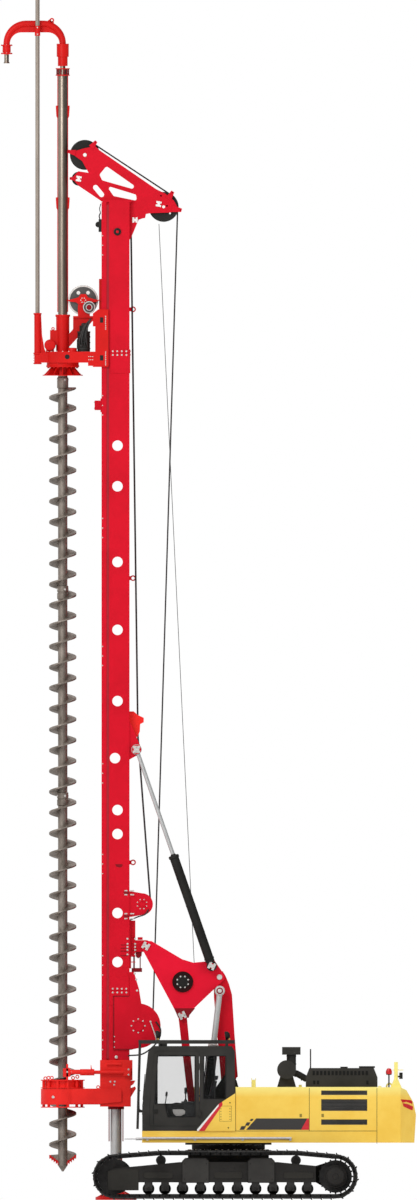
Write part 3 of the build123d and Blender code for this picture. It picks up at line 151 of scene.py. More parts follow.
mast_red = enamel("polyurethane_enamel_red", "D80A24", "CC0820", coat=0.03, shine=0.12)
linkage_red = enamel("polyurethane_enamel_bright_red", "EC1030", "E00C2A", coat=0.03, shine=0.12)
head_red = enamel("polyurethane_enamel_signal_red", "D81714", "CB1412", coat=0.03, shine=0.14)
foot_red = enamel("polyurethane_enamel_foot_red", "FA2C26", "EC2622", coat=0.03, shine=0.14)
maroon_and_shade = enamel("polyurethane_enamel_maroon_and_painted_shade", "8C1820", "7A141B", coat=0.0, shine=0.10)
# The yellow carries a painted highlight: paler towards the top from 1.93 m to 2.14 m and fully pale above,
# for light on the rounded top edges.
house_yellow = enamel("polyurethane_enamel_yellow", "FED45C", "F8C94E", top_highlight=("FFF08C", 1.93, 2.14))
charcoal = enamel("powder_coat_charcoal", "3A3835", "31302D", roughness=0.55, coat=0.0, shine=0.12)
black_enamel = enamel("enamel_black", "292825", "201F1D", roughness=0.5, coat=0.0, shine=0.15)
sheave_grey = enamel("enamel_dark_grey_sheave", "2C2B29", "232220", roughness=0.5, coat=0.0, shine=0.12)
head_sheave_grey = enamel("enamel_grey_sheave", "5A5856", "4A4846", roughness=0.45, coat=0.05)
print("enamels ready")

# %% [markdown]
# ## Bare and plated steel
#
# Track shoes are rolled boron steel, black from heat treatment. The auger is mild steel,
# brown with mud. Cylinder rods are hard chromed. Steel keeps the default IOR, and what
# changes is how rough it is and how much dirt lies over it. The form of a bright tube
# comes from what it mirrors, so the studio has a dark side for it, further below.

# %% Steels
def steel(name, code, dirt_code, roughness, metallic=1.0, scale=4.0, stretch=1.0, share=0.5):
    material, tree, shader, place = new_material(name)
    mapping = add_node(tree, "ShaderNodeMapping", Vector=place)
    mapping.inputs["Scale"].default_value = (1.0, 1.0, stretch)
    grain = add_node(tree, "ShaderNodeTexNoise", Vector=mapping.outputs["Vector"], Scale=scale, Detail=8.0,
                     Roughness=0.65)
    mix = add_node(tree, "ShaderNodeValToRGB", Fac=grain.outputs["Fac"])
    mix.color_ramp.elements[0].position = share - 0.16
    mix.color_ramp.elements[0].color = hex_colour(dirt_code)
    mix.color_ramp.elements[1].position = share + 0.14
    mix.color_ramp.elements[1].color = hex_colour(code)
    rough = add_node(tree, "ShaderNodeMapRange", Value=grain.outputs["Fac"])
    rough.inputs["To Min"].default_value = min(1.0, roughness + 0.2)
    rough.inputs["To Max"].default_value = roughness
    pits = add_node(tree, "ShaderNodeBump", Strength=0.04, Distance=0.003, Height=grain.outputs["Fac"])
    tree.links.new(mix.outputs["Color"], shader.inputs["Base Color"])
    tree.links.new(rough.outputs["Result"], shader.inputs["Roughness"])
    tree.links.new(pits.outputs["Normal"], shader.inputs["Normal"])
    shader.inputs["Metallic"].default_value = metallic
    return material


shoe_steel = steel("rolled_boron_steel_shoes", "33312F", "1F1D1C", 0.6, metallic=0.15, scale=9.0)
frame_steel = enamel("chassis_black_enamel", "302E2C", "262422", roughness=0.6, coat=0.0, shine=0.12)
auger_steel = steel("mild_steel_auger_worn", "A0958B", "70665C", 0.45, metallic=0.7, scale=7.0,
                    stretch=0.35)
pipe_steel = steel("seamless_steel_tube", "9E9184", "82766A", 0.24, metallic=0.9, scale=5.0, stretch=0.1)
rod_steel = steel("drawn_steel_guide_rod", "A2968A", "8C8075", 0.4, metallic=0.35, scale=6.0, stretch=0.1)
chrome = steel("hard_chrome_plate", "C6C6C4", "BABAB8", 0.35, metallic=0.4, scale=3.0, share=0.35)
zinc = steel("zinc_plated_fasteners", "E4DFDA", "C8C2BC", 0.4, metallic=0.3, scale=40.0)
rope_steel = steel("galvanised_wire_rope", "3E3C3A", "232120", 0.5, metallic=0.4, scale=60.0)
print("steels ready")

# %% [markdown]
# ## Rubber, glass and plastics
#
# Cab panes are 8 mm laminated glass with a grey tint. Hoses and seals are black
# rubber, which scatters light softly and has no metal in it. Lamp lenses are moulded
# acrylic.

# %% Rubber, glass, plastics
def moulded(name, code, roughness, scale=30.0, bump_strength=0.1, coat=0.0):
    material, tree, shader, place = new_material(name)
    grain = add_node(tree, "ShaderNodeTexNoise", Vector=place, Scale=scale, Detail=4.0)
    tone = add_node(tree, "ShaderNodeHueSaturation", Color=hex_colour(code))
    value = add_node(tree, "ShaderNodeMapRange", Value=grain.outputs["Fac"])
    value.inputs["To Min"].default_value = 0.82
    value.inputs["To Max"].default_value = 1.15
    tree.links.new(value.outputs["Result"], tone.inputs["Value"])
    bump = add_node(tree, "ShaderNodeBump", Strength=bump_strength, Distance=0.002,
                    Height=grain.outputs["Fac"])
    tree.links.new(tone.outputs["Color"], shader.inputs["Base Color"])
    tree.links.new(bump.outputs["Normal"], shader.inputs["Normal"])
    shader.inputs["Roughness"].default_value = roughness
    shader.inputs["Coat Weight"].default_value = coat
    return material


hose_rubber = moulded("nitrile_rubber_hose", "22211F", 0.6)
black_rubber_and_shade = moulded("epdm_rubber_seal_and_painted_shade", "121211", 0.8)
seat_cloth = moulded("woven_seat_cloth", "2B2B2C", 0.9, scale=220.0, bump_strength=0.5)
red_lens = moulded("acrylic_red_lens", "D3141C", 0.3, coat=0.1)
white_band = moulded("reflective_white_film", "F3F1EC", 0.4)
red_band = moulded("red_film", "D81F2C", 0.35)
dark_band = moulded("charcoal_film", "34312F", 0.5)
brass = moulded("brass_fitting", "B39447", 0.4)


def laminated_glass(name, code):
    material, tree, shader, place = new_material(name)
    smear = add_node(tree, "ShaderNodeTexNoise", Vector=place, Scale=3.0, Detail=3.0)
    rough = add_node(tree, "ShaderNodeMapRange", Value=smear.outputs["Fac"])
    rough.inputs["To Min"].default_value = 0.02
    rough.inputs["To Max"].default_value = 0.10
    tree.links.new(rough.outputs["Result"], shader.inputs["Roughness"])
    shader.inputs["Base Color"].default_value = hex_colour(code)
    shader.inputs["IOR"].default_value = 1.5
    shader.inputs["Specular IOR Level"].default_value = 0.15
    shader.inputs["Alpha"].default_value = 0.09
    return material


cab_pane = laminated_glass("laminated_glass_grey", "2C2E2D")

# %% [markdown]
# ## Dress the steel parts
#
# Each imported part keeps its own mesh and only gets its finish. A short table pairs the
# part's name with the finish the real piece has.

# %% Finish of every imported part
FINISH = {
    "tracks": shoe_steel, "idler_wheels": shoe_steel, "drive_sprockets": shoe_steel,
        "track_rollers": shoe_steel,
    "side_frames": frame_steel, "carbody": frame_steel, "slewing_ring": frame_steel,
    "deck": house_yellow, "engine_house": house_yellow, "side_locker": house_yellow,
        "counterweight": house_yellow,
    "fuel_and_oil_tanks": house_yellow, "valve_cover": house_yellow, "cab_side_cover": house_yellow,
    "linkage_stand": charcoal, "engine": black_enamel, "engine_hood": charcoal, "air_cleaner": charcoal,
    "cab_shell": charcoal, "cab_door": charcoal, "cab_guard": charcoal, "operator_seat": seat_cloth,
    "cab_glass": cab_pane, "door_glass": cab_pane,
    "boom": mast_red, "front_link": mast_red, "delta_plates": linkage_red,
    "backstay_barrels": black_enamel, "lift_cylinder_barrels": black_enamel,
    "backstay_rods": chrome, "lift_cylinder_rods": chrome,
    "mast_lower": mast_red, "mast_middle": mast_red, "mast_upper": mast_red, "mast_head": mast_red,
    "winch_frames": mast_red, "main_winch_drum": mast_red, "aux_winch_drum": mast_red,
    "mast_foot": foot_red, "support_jack": chrome, "front_sheaves": sheave_grey,
        "rear_sheaves": sheave_grey,
    "small_sheave": sheave_grey, "head_sheave": head_sheave_grey, "head_carriage": head_red,
        "rotary_drive": head_red,
    "gooseneck": head_red, "drive_motors": black_enamel, "guide_rod": rod_steel,
    "drive_string": pipe_steel, "auger": auger_steel,
}
for name, thing in frame["nodes"].items():
    thing.data.materials.clear()
    thing.data.materials.append(FINISH[name])
print("dressed", len(FINISH), "parts")

# %% [markdown]
# ## Building small pieces
#
# Four ways of making a mesh are enough for almost everything that is bolted to a machine:
# a plate cut to an outline, a turned part, a pipe bent along a path, and a plain bar of
# metal. `piece` turns the collected mesh into an object, keeps hard edges hard, breaks
# them slightly the way a grinder does, and lets the object ride on a body.

# %% Mesh helpers
def plate(mesh, near_points, far_points):
    """A plate between two faces with the same number of corners."""
    near = [mesh.verts.new(point) for point in near_points]
    far = [mesh.verts.new(point) for point in far_points]
    mesh.faces.new(near)
    mesh.faces.new(far[::-1])
    for i in range(len(near)):
        j = (i + 1) % len(near)
        mesh.faces.new((near[j], near[i], far[i], far[j]))


def prism(mesh, outline, y0, y1):
    """A plate whose outline is in X and Z, carried from y0 to y1."""
    plate(mesh, [(x, y0, z) for x, z in outline], [(x, y1, z) for x, z in outline])


def brick(mesh, x0, x1, y0, y1, z0, z1):
    prism(mesh, [(x0, z0), (x1, z0), (x1, z1), (x0, z1)], y0, y1)


def outward(sign, y, thick):
    """The Y values, in order, of a plate that stands out from the face at y on the side of sign."""
    return sorted((sign * y, sign * (y + thick)))


def turned(mesh, origin, axis, profile, sides=24, ring=False):
    """Turn (radius, height) pairs round an axis, with closed ends or as a ring with a closed profile."""
    way = Vector(axis).normalized()
    side = way.orthogonal().normalized()
    other = way.cross(side)
    rings = []
    for radius, height in profile:
        circle = []
        for i in range(sides):
            a = 2 * math.pi * i / sides
            spot = side * math.cos(a) + other * math.sin(a)
            circle.append(mesh.verts.new(Vector(origin) + way * height + spot * radius))
        rings.append(circle)
    if ring:
        rings.append(rings[0])
    for low, high in zip(rings, rings[1:]):
        for i in range(sides):
            j = (i + 1) % sides
            mesh.faces.new((low[i], low[j], high[j], high[i]))
    if not ring:
        mesh.faces.new(rings[0][::-1])
        mesh.faces.new(rings[-1])


def washer(mesh, origin, axis, inner, outer, thick, sides=32):
    """A flat ring."""
    turned(mesh, origin, axis, [(inner, 0), (inner, thick), (outer, thick), (outer, 0)], sides, ring=True)


def tube(mesh, path, radius, sides=10, loop=False):
    """A round bar or hose along a path of points."""
    points = [Vector(p) for p in path]
    count = len(points)
    rings = []
    up = None
    for i, point in enumerate(points):
        before = points[i - 1] if (i or loop) else point
        after = points[(i + 1) % count] if (i < count - 1 or loop) else point
        way = (after - before).normalized()
        up = way.orthogonal().normalized() if up is None else (up - way * up.dot(way)).normalized()
        side = way.cross(up)
        rings.append([mesh.verts.new(point + (up * math.cos(a) + side * math.sin(a)) * radius)
                      for a in (2 * math.pi * k / sides for k in range(sides))])
    pairs = list(zip(rings, rings[1:])) + ([(rings[-1], rings[0])] if loop else [])
    for low, high in pairs:
        for i in range(sides):
            j = (i + 1) % sides
            mesh.faces.new((low[i], low[j], high[j], high[i]))
    if not loop:
        mesh.faces.new(rings[0][::-1])
        mesh.faces.new(rings[-1])


def curve(points, steps=10):
    """A smooth path through points, for hoses."""
    knots = [Vector(p) for p in points]
    knots = [knots[0] * 2 - knots[1], *knots, knots[-1] * 2 - knots[-2]]
    path = []
    for a, b, c, d in zip(knots, knots[1:], knots[2:], knots[3:]):
        for i in range(steps):
            t = i / steps
            path.append(0.5 * (2 * b + (c - a) * t + (2 * a - 5 * b + 4 * c - d) * t * t
                               + (3 * b - a - 3 * c + d) * t ** 3))
    return path + [knots[-2]]


def bolts(mesh, spots, axis, radius):
    """Hexagon bolt heads on washers."""
    for spot in spots:
        turned(mesh, spot, axis, [(radius * 1.25, 0), (radius * 1.25, radius * 0.2)], 14)
        turned(mesh, spot, axis,
               [(radius, radius * 0.2), (radius, radius * 0.75), (radius * 0.86, radius * 0.85)], 6)


def ring_of(centre, radius, count, axis="Y", turn=0.0):
    """Points evenly round a circle that faces along Y or Z."""
    spots = []
    for i in range(count):
        a = 2 * math.pi * i / count + turn
        u, v = radius * math.cos(a), radius * math.sin(a)
        x, y, z = centre
        spots.append((x + u, y, z + v) if axis == "Y" else (x + u, y + v, z))
    return spots


def piece(name, mesh, material, body, edge=0.0):
    """Make the object, shade it smooth apart from its edges, and let it ride on its body, if it has one."""
    bmesh.ops.recalc_face_normals(mesh, faces=mesh.faces)
    for face in mesh.faces:
        face.smooth = True
    for line in mesh.edges:
        line.smooth = len(line.link_faces) == 2 and line.calc_face_angle(3.0) < 0.6
    data = bpy.data.meshes.new(name)
    mesh.to_mesh(data)
    mesh.free()
    made = bpy.data.objects.new(name, data)
    bpy.context.collection.objects.link(made)
    data.materials.append(material)
    if edge:
        bevel = made.modifiers.new("ground_edges", "BEVEL")
        bevel.width = edge
        bevel.segments = 2
        bevel.limit_method = "ANGLE"
        bevel.angle_limit = 0.6
        bevel.harden_normals = True
    if body:
        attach(made, body)
    print(name, len(data.polygons), "faces")
    return made


PIN = {joint["name"]: Vector(joint["pos_m"]) for joint in frame["joints"] if joint.get("pos_m")}
BOX = {name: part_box(name) for name in frame["nodes"]}
SIDES = (-1, 1)

# %% [markdown]
# ## Hinge pins
#
# Each pin of the linkage is held by a keeper: a thick H-shaped plate with two bolts that
# sits in a slot across the pin's end. Pins that turn in a plain bush have a round cap.
# Pin centres come from the joints, and from the eyes of the cylinder rods.

# %% Keepers and caps
eye = 0.096
rod_lo, rod_hi = BOX["backstay_rods"]
PIN["backstay_head"] = Vector((rod_lo.x + eye, 0, rod_hi.z - eye))
lift_hi = BOX["lift_cylinder_rods"][1]
PIN["lift_head"] = Vector((lift_hi.x - eye, 0, lift_hi.z - eye))
link_lo, link_hi = BOX["front_link"]
PIN["link_head"] = Vector((link_lo.x + 0.08, 0, link_hi.z - 0.09))
delta_y = BOX["delta_plates"][1].y
pin_y = 0.228
KEEPER_T = 0.022


def keeper(mesh, centre, y, turn, size=0.066):
    """An H of thick plate across the end of a pin."""
    shape = [(-1, -1), (-0.28, -1), (-0.28, -0.5), (0.28, -0.5), (0.28, -1), (1, -1), (1, 1), (0.28, 1),
             (0.28, 0.5),
             (-0.28, 0.5), (-0.28, 1), (-1, 1)]
    c, s = math.cos(turn), math.sin(turn)
    outline = [(centre.x + size * (u * c - v * s), centre.z + size * (u * s + v * c)) for u, v in shape]
    for sign in SIDES:
        outer = sign * y + sign * KEEPER_T
        prism(mesh, outline, sign * y, outer)
        spots = [(centre.x + size * (u * c), outer, centre.z + size * (u * s)) for u in (-0.68, 0.68)]
        bolts(mesh, spots, (0, sign, 0), 0.016)


made = bmesh.new()
keeper(made, PIN["mast_tilt"], pin_y, math.radians(-30))
keeper(made, PIN["backstay_swing"], delta_y, math.radians(-25))
keeper(made, PIN["link_head"], pin_y, math.radians(25))
piece("pin_keepers_on_delta", made, zinc, "delta", 0.003)
made = bmesh.new()
keeper(made, PIN["backstay_head"], delta_y, math.radians(90))
piece("pin_keepers_on_mast", made, zinc, "mast", 0.003)
made = bmesh.new()
for sign in SIDES:
    turned(made, (PIN["delta_level"].x, sign * pin_y, PIN["delta_level"].z), (0, sign, 0),
           [(0.052, 0), (0.052, 0.012), (0.044, 0.020)], 28)
    turned(made, (PIN["lift_head"].x, sign * delta_y, PIN["lift_head"].z), (0, sign, 0),
           [(0.088, 0), (0.088, 0.014), (0.080, 0.020)], 8)
    turned(made, (PIN["lift_head"].x, sign * (delta_y + 0.026), PIN["lift_head"].z), (0, sign, 0),
           [(0.040, 0), (0.040, 0.010), (0.034, 0.014)], 24)
piece("pin_caps_on_boom", made, zinc, "boom", 0.002)
made = bmesh.new()
for sign in SIDES:
    turned(made, (PIN["lift_head"].x, sign * (delta_y + 0.0205), PIN["lift_head"].z), (0, sign, 0),
           [(0.062, 0), (0.062, 0.005)], 32)
piece("pin_seals_on_boom", made, maroon_and_shade, "boom")

# %% [markdown]
# ## Slewing hub of the linkage
#
# The round boss in the delta plates holds a slewing gear behind a dark cover. Eight
# bolts hold the cover on a circle 220 mm across.

# %% Hub covers
hub = PIN["delta_level"] - Vector((0.690, 0, 0.090))
HUB_IN, HUB_FACE = 0.13, 0.25
made = bmesh.new()
for sign in SIDES:
    origin = (hub.x, sign * HUB_IN, hub.z)
    turned(made, origin, (0, sign, 0),
           [(0.120, 0.115), (0.120, 0.126), (0.114, 0.130), (0.070, 0.130), (0.066, 0.124),
                                        (0.02, 0.124)], 40)
piece("hub_covers", made, black_enamel, "delta")
made = bmesh.new()
for sign in SIDES:
    washer(made, (hub.x, sign * (HUB_FACE + 0.0005), hub.z), (0, sign, 0), 0.122, 0.197, 0.004, 48)
piece("hub_rims", made, enamel("enamel_hub_rim", "32100F", "1E0C0C", roughness=0.5, coat=0.0, shine=0.1),
      "delta")
made = bmesh.new()
for sign in SIDES:
    bolts(made, ring_of((hub.x, sign * (HUB_FACE + 0.010), hub.z), 0.110, 8, turn=0.39), (0, sign, 0),
          0.012)
piece("hub_bolts", made, zinc, "delta")

# %% [markdown]
# ## Ropes
#
# Wire rope is drawn 28 mm across on the main winch and 34 mm on the auxiliary winch. It is
# taut, so it runs in straight lines between the points where it touches a sheave. The
# angle of each touching point follows from the two radii.

# %% Ropes on sheaves and drums
def tangent(a, ra, b, rb, side):
    """Points where a straight rope leaves wheel a and meets wheel b, on one side of the line between them."""
    way = Vector((b[0] - a[0], b[1] - a[1]))
    length = way.length
    lean = math.asin((ra - rb) / length)
    base = math.atan2(way.y, way.x)
    angle = base + side * (math.pi / 2 - lean)
    unit = Vector((math.cos(angle), math.sin(angle)))
    return (a[0] + unit.x * ra, a[1] + unit.y * ra), (b[0] + unit.x * rb, b[1] + unit.y * rb), angle


def wheel(node):
    lo, hi = BOX[node]
    return ((lo.x + hi.x) / 2, (lo.z + hi.z) / 2), (hi.x - lo.x) / 2


def wrap(centre, radius, a0, a1, y, steps=24):
    return [(centre[0] + radius * math.cos(a0 + (a1 - a0) * i / steps), y,
             centre[1] + radius * math.sin(a0 + (a1 - a0) * i / steps)) for i in range(steps + 1)]


GROOVE = 0.018
front, front_r = wheel("front_sheaves")
rear, rear_r = wheel("rear_sheaves")
main, main_r = wheel("main_winch_drum")
aux, aux_r = wheel("aux_winch_drum")
sheave_y = 0.07
over = tangent(front, front_r - GROOVE, rear, rear_r - GROOVE, 1)[2]
down_b, down = tangent(rear, rear_r - GROOVE, main, main_r - 0.02, 1)[1:]
ROPE_R, AUX_ROPE_R = 0.014, 0.017
for sign in SIDES:
    made = bmesh.new()
    y = sign * sheave_y
    path = wrap(front, front_r - GROOVE, math.pi, over, y)
    path += wrap(rear, rear_r - GROOVE, over, down, y)
    path.append((down_b[0], sign * 0.1, down_b[1]))
    tube(made, path, ROPE_R, 8)
    piece(f"main_rope_{'left' if sign < 0 else 'right'}", made, rope_steel, "mast")

# %% [markdown]
# The auxiliary rope comes off the back of the small drum, bends over a guide roller
# beside the backstay eyes, and runs up to the head behind the mast. A light cable goes
# from the head to the linkage, as a straight line that rides on no body.

# %% Auxiliary rope, its roller and the cable
mid_lo, mid_hi = BOX["mast_middle"]
top_lo, top_hi = BOX["mast_upper"]
back_x = top_hi.x
roller_x, roller_z = back_x + 0.115, PIN["backstay_head"].z + 0.285
made = bmesh.new()
tube(made, [(aux[0] + aux_r - 0.006, -0.05, aux[1] + 0.02), (roller_x + 0.042, -0.03, roller_z - 0.03),
            (roller_x + 0.042, -0.03, roller_z + 0.03), (back_x + 0.03, 0, top_hi.z - 0.622)], AUX_ROPE_R,
     8)
piece("auxiliary_rope", made, rope_steel, "mast")
made = bmesh.new()
turned(made, (roller_x, -0.09, roller_z), (0, 1, 0),
       [(0.034, 0), (0.034, 0.02), (0.022, 0.04), (0.022, 0.10),
                                                     (0.034, 0.12), (0.034, 0.14)], 20)
piece("rope_guide_roller", made, zinc, "mast")
made = bmesh.new()
for sign in SIDES:
    y0, y1 = sorted((sign * 0.075 - 0.03, sign * 0.087 - 0.03))
    prism(made, [(back_x + dx, roller_z + dz) for dx, dz in
                 ((0.0, 0.43), (0.08, 0.43), (0.15, 0.365), (0.267, 0.31), (0.267, 0.225), (0.20, 0.19),
                  (0.193, 0.055),
                  (0.15, -0.05), (0.08, -0.05), (0.0, 0.20))], y0, y1)
piece("roller_bracket", made, foot_red, "mast", 0.003)
made = bmesh.new()
stay = PIN["backstay_head"]
for sign in SIDES:
    turned(made, (stay.x, sign * 0.382, stay.z), (0, sign, 0), [(0.086, 0), (0.086, 0.012), (0.078, 0.016)],
           36)
piece("stay_pin_plates", made, mast_red, "mast")
made = bmesh.new()
keeper(made, stay, 0.398, 0.0, 0.048)
piece("stay_pin_keepers", made, zinc, "mast")
made = bmesh.new()
cable_top, cable_run = Vector((-0.92, 0.0, 18.30)), Vector((0.66, 0.0, -13.85))
cable = [tuple(cable_top + cable_run * (i / 40)) for i in range(41)]
tube(made, cable, 0.006, 6)
line = piece("inclination_cable", made, rope_steel, None)
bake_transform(line)

# %% [markdown]
# ## Mast dressing
#
# Groups of bolts run down the guide rails. Sections meet at flanges with two rows of
# bolts. Lifting eyes stand on the back, and a round black plug sits on each side near
# the top.

# %% Mast bolts, eyes and strips
side_y = top_hi.y
box_x0 = top_lo.x + 0.141
joints_z = (mid_lo.z, mid_hi.z)
RAIL_BOLT_Z = (17.9, 16.2, 14.9, 12.6, 10.2, 8.0, 6.3, 4.4, 3.0)
EYE_Z = (16.70, 11.66, 6.33)
plug_x, plug_z = back_x - 0.228, top_hi.z - 0.557
made = bmesh.new()
for z, low, high in ((joints_z[1], 0.38, 0.07), (joints_z[0], 0.27, 0.27)):
    for sign in SIDES:
        y0, y1 = outward(sign, side_y, 0.012)
        brick(made, box_x0 + 0.02, back_x - 0.004, y0, y1, z + 0.003, z + high)
        brick(made, box_x0 + 0.02, back_x - 0.004, y0, y1, z - low, z - 0.003)
    brick(made, back_x, back_x + 0.014, -side_y, side_y, z - low, z + high)
piece("mast_joint_plates", made, mast_red, "mast", 0.004)
made = bmesh.new()
for z in joints_z:
    for row in (-0.035, 0.035):
        for i in range(4):
            for sign in SIDES:
                x = box_x0 + 0.07 + i * 0.085
                bolts(made, [(x, sign * (side_y + 0.012), z + row)], (0, sign, 0), 0.014)
        bolts(made, [(back_x + 0.014, y, z + row) for y in (-0.24, -0.12, 0, 0.12, 0.24)], (1, 0, 0), 0.014)
for z in RAIL_BOLT_Z:
    for sign in SIDES:
        for dz in (-0.18, 0, 0.18):
            bolts(made, [(top_lo.x + 0.02, sign * side_y, z + dz)], (0, sign, 0), 0.009)
piece("mast_bolts", made, zinc, "mast")


def lug(mesh, x, z, y, reach, radius=0.03, thick=0.012):
    """A lifting eye: a plate with a hole, standing out along X. Made as a ring and a root."""
    turned_ring = [(x + reach + radius * math.cos(a), y, z + radius * math.sin(a))
                   for a in (2 * math.pi * i / 20 for i in range(20))]
    tube(mesh, turned_ring, thick, 8, loop=True)
    brick(mesh, x, x + reach - radius, y - thick, y + thick, z - radius * 0.9, z + radius * 0.9)


made = bmesh.new()
for z in EYE_Z:
    lug(made, back_x, z, 0.0, 0.066, radius=0.042, thick=0.013)
piece("mast_eyes", made, mast_red, "mast")
made = bmesh.new()
for sign in SIDES:
    turned(made, (plug_x, sign * side_y, plug_z), (0, sign, 0),
           [(0.070, 0), (0.070, 0.02), (0.045, 0.028), (0.03, 0.02)], 30)
piece("mast_plugs", made, black_enamel, "mast")
made = bmesh.new()
for sign in SIDES:
    turned(made, (plug_x, sign * (side_y + 0.02), plug_z), (0, sign, 0),
           [(0.026, 0), (0.026, 0.008), (0.014, 0.012)], 24)
piece("mast_plug_centres", made, mast_red, "mast")
made = bmesh.new()
for sign in SIDES:
    y0, y1 = sorted((sign * 0.265, sign * 0.285))
    brick(made, top_lo.x + 0.094, box_x0, y0, y1, BOX["mast_lower"][0].z + 0.9, top_hi.z - 0.05)
piece("rail_shadow_gaps", made, enamel("polyurethane_enamel_red_in_shade", "B3202D", "A61C28"), "mast")

# %% [markdown]
# Front of the mast: a bracket block below the rotary head, and near the top a black limit
# switch with its arm.

# %% Front bracket and limit switch
front_x = top_lo.x
made = bmesh.new()
z = mid_hi.z - 0.98
brick(made, front_x - 0.13, front_x + 0.02, -0.13, 0.13, z - 0.09, z + 0.09)
brick(made, front_x - 0.02, front_x + 0.05, -0.16, 0.16, z - 0.13, z + 0.13)
piece("front_stop_block", made, mast_red, "mast", 0.008)
made = bmesh.new()
bolts(made, [(front_x - 0.13, y, z + dz) for y in (-0.09, 0.09) for dz in (-0.055, 0.055)], (-1, 0, 0),
      0.014)
bolts(made, [(front_x + 0.035, sign * 0.16, z + dz) for sign in SIDES for dz in (-0.1, 0.1)], (0, 0, 1),
      0.008)
piece("front_stop_bolts", made, zinc, "mast")
made = bmesh.new()
z = top_hi.z - 0.402
brick(made, front_x - 0.055, front_x, -0.30, -0.245, z - 0.16, z + 0.08)
turned(made, (front_x - 0.06, -0.245, z - 0.02), (0, 1, 0), [(0.055, 0), (0.055, 0.05)], 20)
tube(made, [(front_x - 0.03, -0.27, z + 0.08), (front_x - 0.045, -0.27, z + 0.14),
            (front_x - 0.02, -0.27, z + 0.2)], 0.012)
tube(made, curve([(front_x - 0.02, -0.27, z + 0.2), (front_x - 0.035, -0.27, z + 0.28),
                  (front_x - 0.012, -0.27, z + 0.37)]),
     0.009, 8)
piece("limit_switch", made, black_enamel, "mast", 0.006)

# %% [markdown]
# ## Mast head
#
# Rope guards stand at the rims of the sheaves so that a slack rope stays in its groove.
# Sheave pins end in white caps, and the small sheave's pin in a keeper.

# %% Head guards, caps and gussets
small, small_r = wheel("small_sheave")
cheek_y = 0.174
BRACE_PINS = ((-0.925, 18.675, 80), (-1.37, 18.375, 0))


def guard(mesh, centre, radius, angle, size, y_half):
    """A pointed rope guard that straddles the rim, with a bar across."""
    c, s = math.cos(angle), math.sin(angle)
    points = [(-0.10, -0.055), (0.05, -0.028), (0.055, 0.028), (-0.10, 0.055)]
    outline = [(centre[0] + c * (radius + u * size) - s * v * size,
                centre[1] + s * (radius + u * size) + c * v * size)
               for u, v in points]
    for sign in SIDES:
        y0, y1 = outward(sign, y_half, 0.016)
        prism(mesh, outline, y0, y1)
    x, z = centre[0] + c * (radius + 0.03 * size), centre[1] + s * (radius + 0.03 * size)
    turned(mesh, (x, -y_half - 0.016, z), (0, 1, 0), [(0.013, 0), (0.013, 2 * y_half + 0.032)], 12)


made = bmesh.new()
guard(made, front, front_r, math.radians(168), 1.0, cheek_y)
guard(made, front, front_r, math.radians(50), 1.0, cheek_y)
guard(made, rear, rear_r, math.radians(59), 1.1, cheek_y)
guard(made, rear, rear_r, math.radians(-11), 1.2, cheek_y)
guard(made, small, small_r, math.radians(178), 0.8, cheek_y)
piece("rope_guards", made, mast_red, "mast", 0.003)
made = bmesh.new()
for centre, radius in ((front, 0.036), (rear, 0.03)):
    for sign in SIDES:
        turned(made, (centre[0], sign * cheek_y, centre[1]), (0, sign, 0),
               [(radius, 0), (radius, 0.018), (radius * 0.8, 0.026)], 24)
keeper(made, Vector((small[0], 0, small[1])), cheek_y, math.radians(80), 0.05)
for x, z, degrees in BRACE_PINS:
    keeper(made, Vector((x, 0, z)), cheek_y, math.radians(degrees), 0.05)
bolts(made, [(x, sign * cheek_y, z) for sign in SIDES for x,
             z in ((-0.882, 18.83), (-0.769, 18.64), (-0.713, 18.50))],
      (0, 1, 0), 0.014)
piece("head_pin_caps", made, white_band, "mast", 0.002)
made = bmesh.new()
for sign in SIDES:
    y0, y1 = sorted((sign * 0.10, sign * 0.12))
    prism(made, [(back_x, 18.60), (-1.17, 18.48), (-1.18, 18.42), (-1.30, 18.38), (-1.44, 18.05),
                 (back_x, 18.0)], y0, y1)
piece("head_gussets", made, mast_red, "mast", 0.004)

# %% [markdown]
# ## Winches
#
# A ring of bolts holds each winch gearbox in its cheek. The sunk centre shows the
# planetary housing. Hoses feed the motors.

# %% Winch hubs, bolts, hoses and wound rope
cheek_out = BOX["winch_frames"][1].y
aux_out = 0.27
made = bmesh.new()
for sign in SIDES:
    turned(made, (main[0], sign * cheek_out, main[1]), (0, sign, 0),
           [(0.110, 0), (0.110, 0.012), (0.088, 0.018), (0.086, 0.006)],
           40)
    turned(made, (aux[0], sign * aux_out, aux[1]), (0, sign, 0),
           [(0.075, 0), (0.075, 0.012), (0.058, 0.018), (0.056, 0.006)], 36)
piece("winch_hub_rings", made, mast_red, "mast")
made = bmesh.new()
for sign in SIDES:
    bolts(made, ring_of((main[0], sign * cheek_out, main[1]), 0.126, 8, turn=math.pi / 2), (0, sign, 0),
          0.012)
    bolts(made, ring_of((aux[0], sign * aux_out, aux[1]), 0.092, 8, turn=0.39), (0, sign, 0), 0.009)
    for dz in (0.250, 0.176, -0.180, -0.272):
        for x, reach in ((back_x - 0.095, 0.055), (back_x + 0.012, 0.075)):
            turned(made, (x, sign * (side_y + 0.004), aux[1] + dz), (1, 0, 0), [(0.013, 0), (0.013, reach)],
                   6)
    for dz in (-0.20, -0.30, -0.40):
        bolts(made, [(box_x0 + 0.10, sign * cheek_out, main[1] + dz)], (0, sign, 0), 0.010)
    for x, dz in ((-1.345, 0.87), (-1.375, 0.98), (-1.33, 0.66)):
        bolts(made, [(x, sign * cheek_out, main[1] + dz)], (0, sign, 0), 0.016)
piece("winch_bolts", made, zinc, "mast")
made = bmesh.new()
